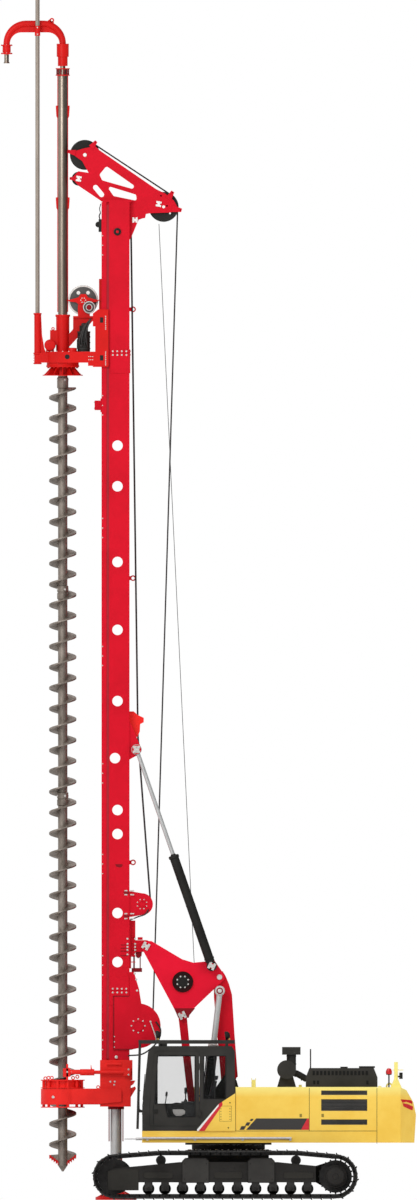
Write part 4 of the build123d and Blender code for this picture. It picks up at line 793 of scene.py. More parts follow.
for centre, radius, half, rope in ((main, main_r - 0.048, 0.25, 0.014), (aux, 0.11, 0.20, 0.01)):
    turns = int(2 * half / (rope * 2.05))
    for i in range(turns):
        y = -half + (i + 0.5) * 2 * half / turns
        tube(made, [(centre[0] + (radius + rope * 0.8) * math.cos(a), y,
                     centre[1] + (radius + rope * 0.8) * math.sin(a))
                    for a in (2 * math.pi * k / 28 for k in range(28))], rope, 5, loop=True)
piece("rope_on_drums", made, rope_steel, "mast")
made = bmesh.new()
for sign in SIDES:
    tube(made, curve([(main[0] + 0.33, sign * (cheek_out + 0.02), main[1] + 0.08),
                      (main[0] + 0.42, sign * (cheek_out + 0.02), main[1] - 0.08),
                      (main[0] + 0.36, sign * (cheek_out + 0.02), main[1] - 0.30),
                      (main[0] + 0.10, sign * (cheek_out + 0.02), main[1] - 0.52),
                      (back_x - 0.03, sign * (side_y + 0.02), main[1] - 0.56)]), 0.014, 10)
    tube(made, curve([(aux[0] + 0.12, sign * (aux_out + 0.015), aux[1] - 0.10),
                      (aux[0] + 0.06, sign * (aux_out + 0.02), aux[1] - 0.19),
                      (aux[0] - 0.08, sign * (aux_out + 0.02), aux[1] - 0.24),
                      (back_x + 0.01, sign * (side_y - 0.02), aux[1] - 0.30)]), 0.012, 10)
piece("winch_hoses", made, hose_rubber, "mast")
made = bmesh.new()
tube(made, [(main[0] + 0.23, -cheek_out - 0.02, main[1] + 0.08),
            (main[0] + 0.35, -cheek_out - 0.02, main[1] - 0.27)], 0.011)
turned(made, (main[0] + 0.23, -cheek_out, main[1] + 0.08), (0, -1, 0), [(0.018, 0), (0.018, 0.04)], 16)
piece("winch_link_rod", made, zinc, "mast")

# %% [markdown]
# ## Rotary head
#
# The head slides on the mast rails and turns the auger. Around its gearbox sit oil
# motors with ribbed lids, a bundle of hoses, a skirt ring with its studs and a row of
# bolts along each guide shoe.

# %% Motors, skirt ring, eye and bolts of the rotary head
car_lo, car_hi = BOX["head_carriage"]
motor_lo = BOX["drive_motors"][0]
auger_x = PIN["auger_spin"].x
beam_z0, beam_z1 = 15.700, 15.907
pump_x, pump_z, pump_y = auger_x - 0.238, 16.030, -0.17
made = bmesh.new()
turned(made, (pump_x, pump_y, pump_z), (0, -1, 0),
       [(0.107, -0.03), (0.107, 0.01), (0.092, 0.03), (0.03, 0.036)], 36)
washer(made, (pump_x + 0.055, pump_y + 0.10, pump_z + 0.305), (0, 1, 0), 0.014, 0.032, 0.016, 20)
brick(made, pump_x + 0.035, pump_x + 0.075, pump_y + 0.10, pump_y + 0.116, pump_z + 0.27, pump_z + 0.285)
for side in SIDES:
    turned(made, (auger_x + 0.18, side * 0.22, beam_z1 - 0.002), (0, 0, 1),
           [(0.085, 0), (0.085, 0.06), (0.078, 0.072), (0.04, 0.075)],
           30)
    brick(made, car_lo.x - 0.09, car_lo.x, *sorted((side * 0.20, side * car_hi.y)), 15.64, 15.70)
turned(made, (auger_x, 0, beam_z0 - 0.085), (0, 0, 1),
       [(0.302, 0), (0.310, 0.01), (0.310, 0.03), (0.302, 0.04)], 48)
for spot in ring_of((auger_x, 0, beam_z0 - 0.105), 0.275, 20, axis="Z"):
    turned(made, spot, (0, 0, 1), [(0.017, 0), (0.017, 0.03)], 6)
piece("head_motors_and_ribs", made, head_red, "rotary_head", 0.002)
made = bmesh.new()
for sign in SIDES:
    y = sign * car_hi.y
    for z0 in (15.66, 16.33):
        for i in range(8):
            bolts(made, [(car_hi.x - 0.055, y, z0 + 0.034 * i)], (0, sign, 0), 0.009)
    for dx in (0, 0.035, 0.07):
        for dz in (0.03, -0.03):
            bolts(made, [(car_lo.x - 0.075 + dx, y, 15.785 + dz)], (0, sign, 0), 0.008)
bolts(made, ring_of((auger_x, 0, beam_z1), 0.30, 16, axis="Z"), (0, 0, 1), 0.014)
bolts(made, ring_of((auger_x, 0, 16.6), 0.118, 8, axis="Z"), (0, 0, 1), 0.009)
piece("head_bolts", made, zinc, "rotary_head")
# Flat black patches on the carriage's sides stand for its openings. They are painted shade, where the insides
# of the holes would be dark.
made = bmesh.new()
for sign in SIDES:
    turned(made, (auger_x + 0.084, sign * 0.361, 15.81), (0, sign, 0),
           [(0.045, 0), (0.045, 0.002), (0.036, 0.001)], 28)
    for z in (15.79, 16.50):
        y0, y1 = sorted((sign * (car_hi.y - 0.002), sign * (car_hi.y + 0.003)))
        brick(made, car_hi.x - 0.16, car_hi.x - 0.10, y0, y1, z - 0.05, z + 0.05)
piece("head_openings_painted_shade", made, black_rubber_and_shade, "rotary_head")

# %% [markdown]
# The upright motors have ribbed cases and short hoses on the near side. The head sheave
# turns between two star-shaped cheeks, with a small hose reel in front of it.

# %% Motor fittings, hoses and the head sheave's cheeks
motor_x = auger_x + 0.394
MOTOR_RIB_Z = (15.95, 16.06, 16.17, 16.26)
near_y = motor_lo.y
made = bmesh.new()
for side in SIDES:
    y = side * 0.20
    for z in MOTOR_RIB_Z:
        turned(made, (motor_x, y, z), (0, 0, 1),
               [(0.116, 0), (0.126, 0.006), (0.126, 0.022), (0.116, 0.028)], 30)
    turned(made, (motor_x, y, 16.395), (0, 0, 1), [(0.05, 0), (0.05, 0.03), (0.03, 0.05)], 20)
for i, (dx, reach) in enumerate(((-0.06, 0.02), (-0.02, 0.05), (0.03, 0.03), (0.07, 0.06))):
    y = near_y - reach
    tube(made, curve([(motor_x + dx, near_y + 0.02, 16.00), (motor_x + dx - 0.02, y, 16.10),
                      (motor_x + dx * 0.6, y, 16.26),
                      (motor_x + 0.04 + dx * 0.5, y, 16.38),
                      (motor_x + 0.10 + dx * 0.4, y + 0.02, 16.46 + 0.02 * i)]), 0.016, 8)
for dx, z in ((-0.05, 16.02), (0.04, 16.10), (0.0, 16.22)):
    turned(made, (motor_x + dx, near_y + 0.01, z), (0, -1, 0),
           [(0.030, 0), (0.030, 0.02), (0.020, 0.03), (0.020, 0.045)], 6)
piece("head_hydraulics", made, hose_rubber, "rotary_head")
made = bmesh.new()
wheel_c, wheel_r = wheel("head_sheave")
star = [(-0.31, 0.0), (-0.20, 0.022), (-0.09, 0.055), (-0.05, 0.115), (0.05, 0.115), (0.09, 0.055),
        (0.20, 0.022), (0.31, 0.0),
        (0.24, -0.035), (0.15, -0.04), (0.11, -0.08), (-0.09, -0.08), (-0.13, -0.04), (-0.24, -0.03)]
for sign in SIDES:
    y0, y1 = sorted((sign * 0.094, sign * 0.110))
    prism(made, [(wheel_c[0] + u, wheel_c[1] + v) for u, v in star], y0, y1)
    for u in (-0.295, 0.295):
        turned(made, (wheel_c[0] + u, 0, wheel_c[1]), (0, sign, 0), [(0.010, 0.0), (0.010, 0.11)], 12)
piece("head_sheave_cheeks", made, head_red, "rotary_head", 0.003)
made = bmesh.new()
turned(made, (wheel_c[0] + 0.11, -0.110, wheel_c[1] - 0.133), (0, -1, 0),
       [(0.118, 0), (0.118, 0.03), (0.100, 0.034), (0.098, 0.022), (0.070, 0.022), (0.066, 0.036),
        (0.040, 0.036), (0.036, 0.02),
        (0.02, 0.02)], 36)
piece("head_hose_reel", made, head_sheave_grey, "rotary_head")
made = bmesh.new()
reel = (wheel_c[0] + 0.11, -0.146, wheel_c[1] - 0.133)
washer(made, reel, (0, -1, 0), 0.098, 0.112, 0.003, 36)
washer(made, reel, (0, -1, 0), 0.050, 0.062, 0.003, 30)
piece("reel_rings", made, zinc, "rotary_head")
made = bmesh.new()
turned(made, reel, (0, -1, 0), [(0.048, -0.010), (0.048, 0.002), (0.030, 0.005)], 24)
piece("reel_hub", made, maroon_and_shade, "rotary_head")
made = bmesh.new()
for sign in SIDES:
    bolts(made, ring_of((wheel_c[0], sign * 0.110, wheel_c[1]), 0.045, 6), (0, sign, 0), 0.009)
    for i in range(15):
        bolts(made, [(car_hi.x - 0.115, sign * 0.06, car_hi.z - 0.53 + i * 0.035)], (0, sign, 0), 0.007)
piece("head_sheave_bolts", made, zinc, "rotary_head")
made = bmesh.new()
for sign in SIDES:
    for u in (-0.09, 0.09):
        turned(made, (wheel_c[0] + u, sign * 0.0385, wheel_c[1] + 0.139), (0, sign, 0),
               [(0.034, 0), (0.034, 0.004)], 24)
piece("head_sheave_holes", made, white_band, "head_sheave")
made = bmesh.new()
for sign in SIDES:
    turned(made, (wheel_c[0], sign * 0.0395, wheel_c[1]), (0, sign, 0),
           [(wheel_r - 0.030, -0.003), (wheel_r - 0.028, 0.005), (wheel_r - 0.002, 0.003),
            (wheel_r - 0.002, -0.003)], 60, ring=True)
piece("head_sheave_rims", made, zinc, "head_sheave")

# %% [markdown]
# ## Guide rod socket, drive tube and gooseneck
#
# The guide rod stands in a welded socket with a fin. Along the drive tube run two
# red rubbing strips with short stops. The gooseneck carries concrete; bolts clamp its
# flanges, and a lifting eye sits on the crown.

# %% Rod socket, drive tube strips, gooseneck fittings
pole_lo, pole_hi = BOX["guide_rod"]
rod_x, rod_y = (pole_lo.x + pole_hi.x) / 2, (pole_lo.y + pole_hi.y) / 2
made = bmesh.new()
prism(made, [(rod_x + 0.055, beam_z0), (rod_x + 0.055, pole_lo.z - 0.02), (rod_x + 0.068, pole_lo.z - 0.02),
             (rod_x + 0.085, 16.22),
             (rod_x + 0.13, 15.96), (rod_x + 0.19, 15.84), (rod_x + 0.19, beam_z0)], rod_y - 0.01,
      rod_y + 0.01)
for z, height in ((beam_z0 - 0.03, 0.03), (beam_z0 + 0.15, 0.04), (pole_lo.z - 0.03, 0.032)):
    turned(made, (rod_x, rod_y, z), (0, 0, 1),
           [(0.064, 0), (0.078, 0.006), (0.078, height - 0.006), (0.064, height)], 28)
for z in (15.74, 15.785, 15.83):
    bolts(made, [(rod_x - 0.066, rod_y, z)], (-1, 0, 0), 0.010)
piece("rod_socket_fin", made, head_red, "rotary_head", 0.002)
string_lo, string_hi = BOX["drive_string"]
tube_r = 0.090
ring_r = (string_hi.x - string_lo.x) / 2
coupling_z1 = string_hi.z - 0.041
coupling_z0 = coupling_z1 - 0.140
made = bmesh.new()
for sign in SIDES:
    x = auger_x + sign * tube_r
    brick(made, *sorted((x - sign * 0.003, x + sign * 0.012)), -0.016, 0.016, 16.65, coupling_z0)
    for z in (20.42, 18.70):
        prism(made, [(x + sign * 0.010, z - 0.14), (x + sign * 0.03, z - 0.10), (x + sign * 0.04, z + 0.06),
                     (x + sign * 0.04, z + 0.1),
                     (x + sign * 0.010, z + 0.1)], -0.02, 0.02)
for z in (coupling_z0, coupling_z1 - 0.018):
    washer(made, (auger_x, 0, z - 0.001), (0, 0, 1), tube_r, ring_r + 0.002, 0.020, 40)
piece("drive_tube_strips", made, head_red, "auger_string", 0.002)
made = bmesh.new()
for i in range(12):
    a = 2 * math.pi * i / 12 + 0.2
    turned(made, (auger_x + 0.112 * math.cos(a), 0.112 * math.sin(a), coupling_z0 + 0.018), (0, 0, 1),
           [(0.011, 0), (0.011, 0.104)], 10)
piece("coupling_studs", made, maroon_and_shade, "auger_string")
goose_lo, goose_hi = BOX["gooseneck"]
hose_x = goose_lo.x + 0.108
flange_z = (goose_lo.z + 0.2207, goose_lo.z + 0.3757)
nozzle_z0 = goose_lo.z + 0.0507
made = bmesh.new()
eye_x, eye_z = auger_x - 0.203, goose_hi.z + 0.006
washer(made, (eye_x, -0.012, eye_z), (0, 1, 0), 0.017, 0.043, 0.024, 24)
prism(made, [(eye_x - 0.085, eye_z - 0.012), (eye_x - 0.035, eye_z + 0.022), (eye_x - 0.020, eye_z - 0.020),
             (eye_x + 0.035, eye_z - 0.025), (eye_x + 0.040, eye_z - 0.085), (eye_x, eye_z - 0.06)], -0.012,
      0.012)
for z, r in ((flange_z[0] + 0.06, 0.080), (goose_lo.z + 0.165, 0.096), (goose_lo.z + 0.404, 0.117)):
    x = hose_x if r < 0.09 else auger_x
    turned(made, (x, 0, z), (0, 0, 1), [(r - 0.004, 0), (r, 0.003), (r, 0.011), (r - 0.004, 0.014)], 36)
piece("gooseneck_web", made, head_red, "rotary_head", 0.002)
made = bmesh.new()
for z in flange_z:
    bolts(made, ring_of((hose_x, 0, z + 0.024), 0.093, 8, axis="Z"), (0, 0, 1), 0.008)
bolts(made, [(rod_x, rod_y - 0.052, z) for z in (21.86, 21.985)], (0, -1, 0), 0.010)
piece("gooseneck_bolts", made, zinc, "rotary_head")
made = bmesh.new()
turned(made, (hose_x, 0, nozzle_z0 - 0.001), (0, 0, 1),
       [(0.032, 0), (0.056, 0), (0.056, 0.016), (0.0445, 0.028), (0.0445, 0.168), (0.032, 0.168)], 32,
       ring=True)
piece("hose_nozzle", made, pipe_steel, "rotary_head")

# %% [markdown]
# ## Auger
#
# Three stems are joined by round coupling sleeves with locking pins. The cutting head
# has a row of red teeth on each wing, which point down and a little outwards, and a
# fishtail point.

# %% Couplings, cutting teeth and point
auger_lo, auger_hi = BOX["auger"]
COUPLING_Z = (11.391, 7.519)
made = bmesh.new()
for z in COUPLING_Z:
    turned(made, (auger_x, 0, z - 0.13), (0, 0, 1),
           [(0.0890, 0), (0.106, 0.012), (0.106, 0.116), (0.096, 0.122), (0.096, 0.138),
                                                    (0.106, 0.144), (0.106, 0.248), (0.0890, 0.26)], 32)
turned(made, (auger_x, 0, auger_hi.z - 0.215), (0, 0, 1),
       [(0.0890, 0), (0.106, 0.01), (0.106, 0.2), (0.0890, 0.214)], 32)
piece("auger_couplings", made, auger_steel, "auger_string", 0.002)
made = bmesh.new()
for z in (*COUPLING_Z, auger_hi.z - 0.11):
    for a in (0.4, 0.4 + math.pi / 2, 0.4 + math.pi, 0.4 + 1.5 * math.pi):
        way = (math.cos(a), math.sin(a), 0)
        turned(made, (auger_x + 0.104 * way[0], 0.104 * way[1], z + 0.06), way,
               [(0.020, 0), (0.020, 0.008), (0.012, 0.010)], 16)
piece("coupling_pins", made, zinc, "auger_string")
made = bmesh.new()
for sign in SIDES:
    points = [(auger_x + sign * 0.05, 0.86), (auger_x + sign * 0.235, 0.845),
              (auger_x + sign * 0.245, 0.79),
              (auger_x + sign * 0.10, 0.70), (auger_x + sign * 0.04, 0.66)]
    prism(made, points if sign > 0 else points[::-1], -0.02, 0.02)
piece("cutting_wings", made, auger_steel, "auger_string", 0.003)
made = bmesh.new()
for sign in SIDES:
    for u, z in ((0.235, 0.80), (0.195, 0.765), (0.155, 0.735), (0.115, 0.705), (0.080, 0.680)):
        x = auger_x + sign * u
        prism(made, [(x - 0.020, z + 0.045), (x + 0.020, z + 0.045), (x + 0.018, z - 0.004),
                     (x + sign * 0.012, z - 0.034),
                     (x - 0.018, z - 0.004)], -0.034, 0.034)
for turn in (0, 1):
    half_w = 0.036
    z0 = auger_lo.z
    shape = [(-0.006, z0), (half_w, z0 + 0.035), (half_w * 0.8, z0 + 0.075), (-half_w * 0.8, z0 + 0.075),
             (-half_w, z0 + 0.035)]
    if turn:
        prism(made, [(auger_x + u, z) for u, z in shape], -0.010, 0.010)
    else:
        plate(made, *([(x, u, z) for u, z in shape] for x in (auger_x - 0.010, auger_x + 0.010)))
piece("cutting_teeth", made, head_red, "auger_string", 0.002)

# %% [markdown]
# ## Auger guide and mast foot
#
# A hinged clamp with two rings steadies the auger. A hydraulic cylinder closes it, so
# it has eyes, pins and a barrel. Small lifting rings stand on the arms.

# %% Guide rings, clamp cylinder and eyes
made = bmesh.new()
for z0, z1 in ((1.731, 1.75), (1.82, 1.836), (2.095, 2.111), (2.236, 2.256)):
    washer(made, (auger_x, 0, z0), (0, 0, 1), 0.300, 0.412, z1 - z0, 48)
for i in range(12):
    a = 2 * math.pi * i / 12 + 0.26
    for z0, z1 in ((1.75, 1.79), (2.085, 2.236)):
        x, y = auger_x + 0.37 * math.cos(a), 0.37 * math.sin(a)
        turned(made, (x, y, z0), (0, 0, 1), [(0.028, 0), (0.028, z1 - z0)], 12)
washer(made, (auger_x, 0, 2.085), (0, 0, 1), 0.331, 0.335, 0.16, 40)
piece("guide_rings", made, foot_red, "mast")
made = bmesh.new()
cyl_y = -0.40
round_parts = (
    (-2.60, -2.40, cyl_y, 2.40, 0.045, 20),    # head of the cylinder
    (-2.40, -2.13, cyl_y, 2.395, 0.060, 24),   # barrel
    (-2.13, -1.56, cyl_y, 2.395, 0.034, 20),   # rod
    (-1.90, -1.62, -0.36, 2.55, 0.03, 16),     # pin above it
)
for x0, x1, y, z, radius, sides in round_parts:
    tube(made, [(x0, y, z), (x1, y, z)], radius, sides)
brick(made, -1.58, -1.45, -0.43, -0.34, 2.33, 2.47)
brick(made, -2.72, -2.58, -0.43, -0.36, 2.31, 2.47)
brick(made, -2.66, -2.62, -0.43, -0.37, 2.24, 2.55)
for x, z in ((-2.99, 2.26), (-2.93, 2.26), (-3.05, 2.25), (-2.06, 2.085), (-1.98, 2.085), (-2.53, 2.26),
             (-2.45, 2.28)):
    tube(made, [(x + 0.028 * math.cos(a), -0.33, z + 0.03 + 0.028 * math.sin(a)) for a in
                (2 * math.pi * i / 16 for i in range(16))], 0.010, 8, loop=True)
prism(made, [(-2.20, 2.42), (-2.20, 2.53), (-2.19, 2.53), (-2.18, 2.47), (-2.13, 2.42)], cyl_y - 0.01,
      cyl_y + 0.01)
for sign in SIDES:
    prism(made, [(-1.447, 2.24), (-1.36, 2.24), (-1.40, 2.17), (-1.447, 2.14)],
          *sorted((sign * 0.30, sign * 0.32)))
    prism(made, [(-1.447, 2.10), (-1.37, 2.13), (-1.35, 2.09), (-1.447, 1.93)],
          *sorted((sign * 0.30, sign * 0.32)))
    prism(made, [(auger_x - 0.05, 1.80), (-2.05, 1.80), (-1.62, 1.84), (-1.62, 2.06), (-1.70, 2.09),
                 (auger_x - 0.05, 2.09)],
          *sorted((sign * 0.36, sign * 0.376)))
piece("guide_clamp", made, foot_red, "mast", 0.004)
made = bmesh.new()
for x, z in ((-2.64, 2.40), (-2.56, 2.40), (-1.49, 2.45), (-1.49, 2.35), (-1.83, 2.22), (-1.75, 2.22),
             (-1.76, 2.16)):
    bolts(made, [(x, -0.432 if x < -1.9 or z > 2.3 else -0.342, z)], (0, -1, 0), 0.014)
turned(made, (-1.72, -0.34, 2.68), (0, -1, 0), [(0.03, 0), (0.03, 0.03), (0.014, 0.04)], 16)
turned(made, (auger_x - 0.18, -0.376, 1.93), (0, -1, 0), [(0.026, 0), (0.026, 0.02)], 16)
piece("guide_clamp_pins", made, zinc, "mast")

# %% [markdown]
# ## Support jack
#
# The jack's chromed ram stands on a round pad. Red guard plates run beside it in two
# stages, one on the ram and one on the mast, so that the jack can rise.

# %% Jack guard plates and pad
jack_lo, jack_hi = BOX["support_jack"]
jack_x = (jack_lo.x + jack_hi.x) / 2
made = bmesh.new()
for sign in SIDES:
    x0, x1 = sorted((jack_x + sign * 0.096, jack_x + sign * 0.118))
    brick(made, x0, x1, -0.06, 0.06, 0.16, 0.84)
piece("jack_guards", made, maroon_and_shade, "support_jack", 0.003)
foot_z = BOX["mast_foot"][0].z
made = bmesh.new()
for sign in SIDES:
    x0, x1 = sorted((jack_x + sign * 0.120, jack_x + sign * 0.140))
    brick(made, x0, x1, -0.06, 0.06, 1.10, foot_z + 0.003)
washer(made, (jack_x, 0, foot_z - 0.05), (0, 0, 1), 0.137, 0.152, 0.05, 36)
piece("jack_outer_guards", made, maroon_and_shade, "mast", 0.003)
made = bmesh.new()
turned(made, (jack_x, 0, 0.0), (0, 0, 1),
       [(0.386, 0.0), (0.386, 0.052), (0.378, 0.060), (0.245, 0.062), (0.23, 0.10), (0.125, 0.17)], 60)
pad_rib, rib_half = ((0.12, 0.06), (0.36, 0.06), (0.12, 0.19)), 0.008
for i in range(8):
    a = 2 * math.pi * i / 8
    c, s = math.cos(a), math.sin(a)
    faces = [[(jack_x + c * r - s * w, s * r + c * w, z) for r, z in pad_rib] for w in (-rib_half,
                                                                                        rib_half)]
    plate(made, *faces)
piece("jack_pad_cover", made, head_red, "support_jack")

# %% [markdown]
# ## Tracks and undercarriage
#
# Track chains are closed with pressed pins, which show as rows of round ends.
# Rollers have end caps with plugs, and the final drive has a cover with two rings of
# bolts.

# %% Chain pins round the belt
track_hi = BOX["tracks"][1]
idler_lo, idler_hi = BOX["idler_wheels"]
sprocket_lo, sprocket_hi = BOX["drive_sprockets"]
roller_hi = BOX["track_rollers"][1]
idler_x = (idler_lo.x + idler_hi.x) / 2
sprocket_x = (sprocket_lo.x + sprocket_hi.x) / 2
wheel_z = (idler_lo.z + idler_hi.z) / 2
CHAIN_RISE = 0.035
CARRIER_X = (-0.883, 1.648)
COVER_X = ((-0.488, 0.020), (0.744, 1.252))
SHOE_COUNT = 56
chain_r = (idler_hi.z - idler_lo.z) / 2 + CHAIN_RISE
shoe_half, frame_half = 0.35, 0.19
track_y = track_hi.y - shoe_half


def belt():
    """The middle line of the chain: over both end wheels, flat below and sagging above."""
    line = []
    for i in range(61):
        a = math.pi / 2 + math.pi * i / 60
        line.append((idler_x + chain_r * math.cos(a), wheel_z + chain_r * math.sin(a)))
    for i in range(61):
        a = -math.pi / 2 + math.pi * i / 60
        line.append((sprocket_x + chain_r * math.cos(a), wheel_z + chain_r * math.sin(a)))
    line += [(x, roller_hi.z + CHAIN_RISE) for x in CARRIER_X[::-1]]
    line.append(line[0])
    return line


def along(line, pitch):
    """Points at equal steps along a closed line."""
    spots, carry = [], 0.0
    for (x0, z0), (x1, z1) in zip(line, line[1:]):
        length = math.hypot(x1 - x0, z1 - z0)
        while carry <= length and length > 0:
            t = carry / length
            spots.append((x0 + (x1 - x0) * t, z0 + (z1 - z0) * t, math.atan2(z1 - z0, x1 - x0)))
            carry += pitch
        carry -= length
    return spots


path = belt()
total = sum(math.hypot(b[0] - a[0], b[1] - a[1]) for a, b in zip(path, path[1:]))
links = along(path, total / SHOE_COUNT + 1e-9)
made = bmesh.new()
for x, z, a in links:
    for side in SIDES:
        for face in SIDES:
            y = side * track_y + face * 0.10
            turned(made, (x, y, z), (0, face, 0), [(0.026, -0.004), (0.026, 0.012), (0.018, 0.016)], 12)
            c, s = math.cos(a), math.sin(a)
            outline = [(x + c * u - s * v, z + s * u + c * v) for u, v in
                       ((-0.105, -0.032), (-0.08, -0.046), (0.03, -0.046), (0.06, -0.050), (0.105, -0.032),
                        (0.105, 0.036),
                        (-0.105, 0.036))]
            prism(made, outline, y - 0.006, y + 0.006)
piece("chain_links", made, shoe_steel, "undercarriage")

# %% [markdown]
# Bolted plates and covers close the side frames between the rollers, and a ring of bolts
# holds the slewing ring on the carbody.

# %% Roller caps, drive covers and frame fittings
made = bmesh.new()
lower_z = idler_lo.z + 0.099
lower_x = (-1.116, -0.806, -0.478, -0.141, 0.197, 0.553, 0.891, 1.219, 1.547, 1.866)
for side in SIDES:
    for x in lower_x:
        turned(made, (x, side * (track_y + frame_half), lower_z), (0, side, 0),
               [(0.034, 0), (0.034, 0.014), (0.018, 0.018)], 18)
        for face in SIDES:
            turned(made, (x, side * track_y + face * 0.125, lower_z), (0, face, 0),
                   [(0.112, -0.03), (0.112, -0.005), (0.099, 0.0)], 30)
    for x in CARRIER_X:
        turned(made, (x, side * (track_y + 0.09), roller_hi.z - 0.094), (0, side, 0),
               [(0.05, 0), (0.05, 0.016), (0.03, 0.02)], 18)
    turned(made, (idler_x, side * idler_hi.y, wheel_z), (0, side, 0),
           [(0.095, -0.01), (0.095, 0.012), (0.07, 0.02)], 30)
    hub_y = sprocket_hi.y
    turned(made, (sprocket_x, side * (track_y + 0.17), wheel_z), (0, side, 0),
           [(0.214, -0.004), (0.214, 0.012), (0.176, 0.016)], 44)
    turned(made, (sprocket_x, side * hub_y, wheel_z), (0, side, 0),
           [(0.172, -0.03), (0.172, 0.0), (0.155, 0.018), (0.06, 0.026),
                                                                    (0.055, 0.018)], 44)
piece("roller_and_drive_caps", made, frame_steel, "undercarriage")
made = bmesh.new()
for side in SIDES:
    bolts(made, ring_of((sprocket_x, side * (track_y + 0.186), wheel_z), 0.195, 20), (0, side, 0), 0.009)
    bolts(made, ring_of((sprocket_x, side * (sprocket_hi.y + 0.012), wheel_z), 0.115, 8), (0, side, 0),
          0.009)
    cover_y = BOX["side_frames"][1].y
    for x0, x1 in COVER_X:
        for x in (x0 + 0.05, x1 - 0.05):
            for z in (0.39, 0.68):
                bolts(made, [(x, side * cover_y, z)], (0, side, 0), 0.011)
    for x in (-1.2, -1.0, 0.30, 0.50, 1.9):
        bolts(made, [(x, side * (track_y + frame_half), 0.60)], (0, side, 0), 0.011)
piece("undercarriage_bolts", made, frame_steel, "undercarriage")
made = bmesh.new()
for side in SIDES:
    y0, y1 = sorted((side * (track_y + frame_half), side * (track_y + frame_half + 0.016)))
    for x0, x1 in ((-1.20, -0.66), (0.12, 0.64), (1.42, 1.98)):
        prism(made, [(x0, 0.42), (x0 + 0.03, 0.40), (x1 - 0.03, 0.40), (x1, 0.42), (x1, 0.50),
                     (x1 - 0.03, 0.52), (x0 + 0.03, 0.52),
                     (x0, 0.50)], y0, y1)
    prism(made, [(-1.88, 0.18), (-1.30, 0.18), (-1.30, 0.58), (-1.72, 0.58), (-1.88, 0.54)],
          *sorted((side * (track_y + frame_half), side * (track_y + frame_half + 0.016))))
piece("side_frame_plates", made,
      enamel("chassis_enamel_plates", "35332F", "2E2C29", roughness=0.6, coat=0.0, shine=0.1),
      "undercarriage", 0.006)
made = bmesh.new()
for side in SIDES:
    for x0, x1 in COVER_X:
        prism(made, [(x0 + 0.012, 0.335), (x1 - 0.012, 0.335), (x1 - 0.012, 0.725), (x1 - 0.068, 0.778),
                     (x0 + 0.068, 0.778),
                     (x0 + 0.012, 0.725)], *sorted((side * (cover_y - 0.001), side * (cover_y + 0.003))))
piece("crossbeam_end_covers", made,
      enamel("chassis_enamel_covers", "413F3C", "393735", roughness=0.6, coat=0.0, shine=0.1),
      "undercarriage", 0.002)
ring_lo, ring_hi = BOX["slewing_ring"]
slew = PIN["slew"]
made = bmesh.new()
bolts(made, ring_of((slew.x, slew.y, ring_lo.z), 0.745, 40, axis="Z"), (0, 0, 1), 0.016)
piece("slewing_ring_bolts", made, zinc, "undercarriage")
made = bmesh.new()
washer(made, (slew.x, slew.y, ring_hi.z + 0.0005), (0, 0, 1), 0.780, 0.8085, 0.038, 80)
piece("slewing_flange_band", made, frame_steel, "house")

# %% [markdown]
# ## House panels
#
# Body panels meet with 8 mm gaps over black rubber. Doors have slam latches, grilles
# have sloping louvres in front of a back plate, and an aluminium rail protects the lower
# edge on both sides.

# %% Seams, louvres, latches and rails
house_lo, house_hi = BOX["engine_house"]
locker_lo, locker_hi = BOX["side_locker"]
deck_lo, deck_hi = BOX["deck"]
weight_hi = BOX["counterweight"][1]
made = bmesh.new()
for side in SIDES:
    y0, y1 = sorted((side * (house_hi.y - 0.002), side * (house_hi.y + 0.002)))
    for x in (locker_lo.x, house_lo.x):
        brick(made, x - 0.004, x + 0.004, y0, y1, deck_hi.z, house_hi.z - 0.02)
    brick(made, house_hi.x - 0.004, house_hi.x + 0.004, y0, y1, deck_lo.z + 0.02, house_hi.z - 0.02)
    brick(made, locker_lo.x, house_hi.x, y0, y1, deck_hi.z - 0.004, deck_hi.z + 0.004)
piece("panel_seams", made, black_rubber_and_shade, "house")
made = bmesh.new()
vent_x0, vent_x1 = house_lo.x + 0.223, house_hi.x - 0.182
for top, bottom in ((2.053, 1.969), (1.890, 1.671), (1.511, 1.410)):
    for side in SIDES:
        count = max(2, round((top - bottom) / 0.028))
        inner = side * (house_hi.y - 0.023)
        outer = side * (house_hi.y - 0.003)
        for i in range(count):
            z = bottom + (i + 0.5) * (top - bottom) / count
            cross = [(inner, z + 0.010), (outer, z - 0.008), (outer, z - 0.012), (inner, z + 0.006)]
            plate(made, *([(x, y, h) for y, h in cross] for x in (vent_x0, vent_x1)))
        y0, y1 = sorted((side * (house_hi.y - 0.025), side * (house_hi.y - 0.022)))
        brick(made, vent_x0, vent_x1, y0, y1, bottom, top)
        if top - bottom > 0.2:
            z = (top + bottom) / 2
            brick(made, vent_x0, vent_x1, *sorted((inner, side * (house_hi.y + 0.001))), z - 0.007,
                  z + 0.007)
piece("vent_louvres", made, enamel("powder_coat_grille_grey", "4C4A48", "403F3D", roughness=0.5, coat=0.0),
      "house")
made = bmesh.new()
for side in SIDES:
    rail_z, rail_y = 1.160, side * (deck_hi.y + 0.028)
    x0, x1 = deck_lo.x, 1.564
    tube(made, [(x0, rail_y, rail_z), (x1, rail_y, rail_z)], 0.022, 16)
    for i in range(4):
        x = x0 + 0.10 + i * (x1 - x0 - 0.12) / 3
        brick(made, x - 0.02, x + 0.02, *sorted((side * deck_hi.y, rail_y)), rail_z - 0.045, rail_z - 0.005)
tube(made, [(deck_lo.x, -deck_hi.y + 0.02, 1.145), (deck_lo.x - 0.12, -deck_hi.y + 0.02, 1.145)], 0.024, 14)
tube(made, [(deck_lo.x - 0.12, -deck_hi.y + 0.02, 1.145), (deck_lo.x - 0.33, -deck_hi.y + 0.02, 1.145)],
     0.010, 12)
piece("deck_rails", made, steel("brushed_aluminium_rail", "DEDBDA", "CBC8C7", 0.45, metallic=0.2,
                                scale=30.0), "house")
made = bmesh.new()
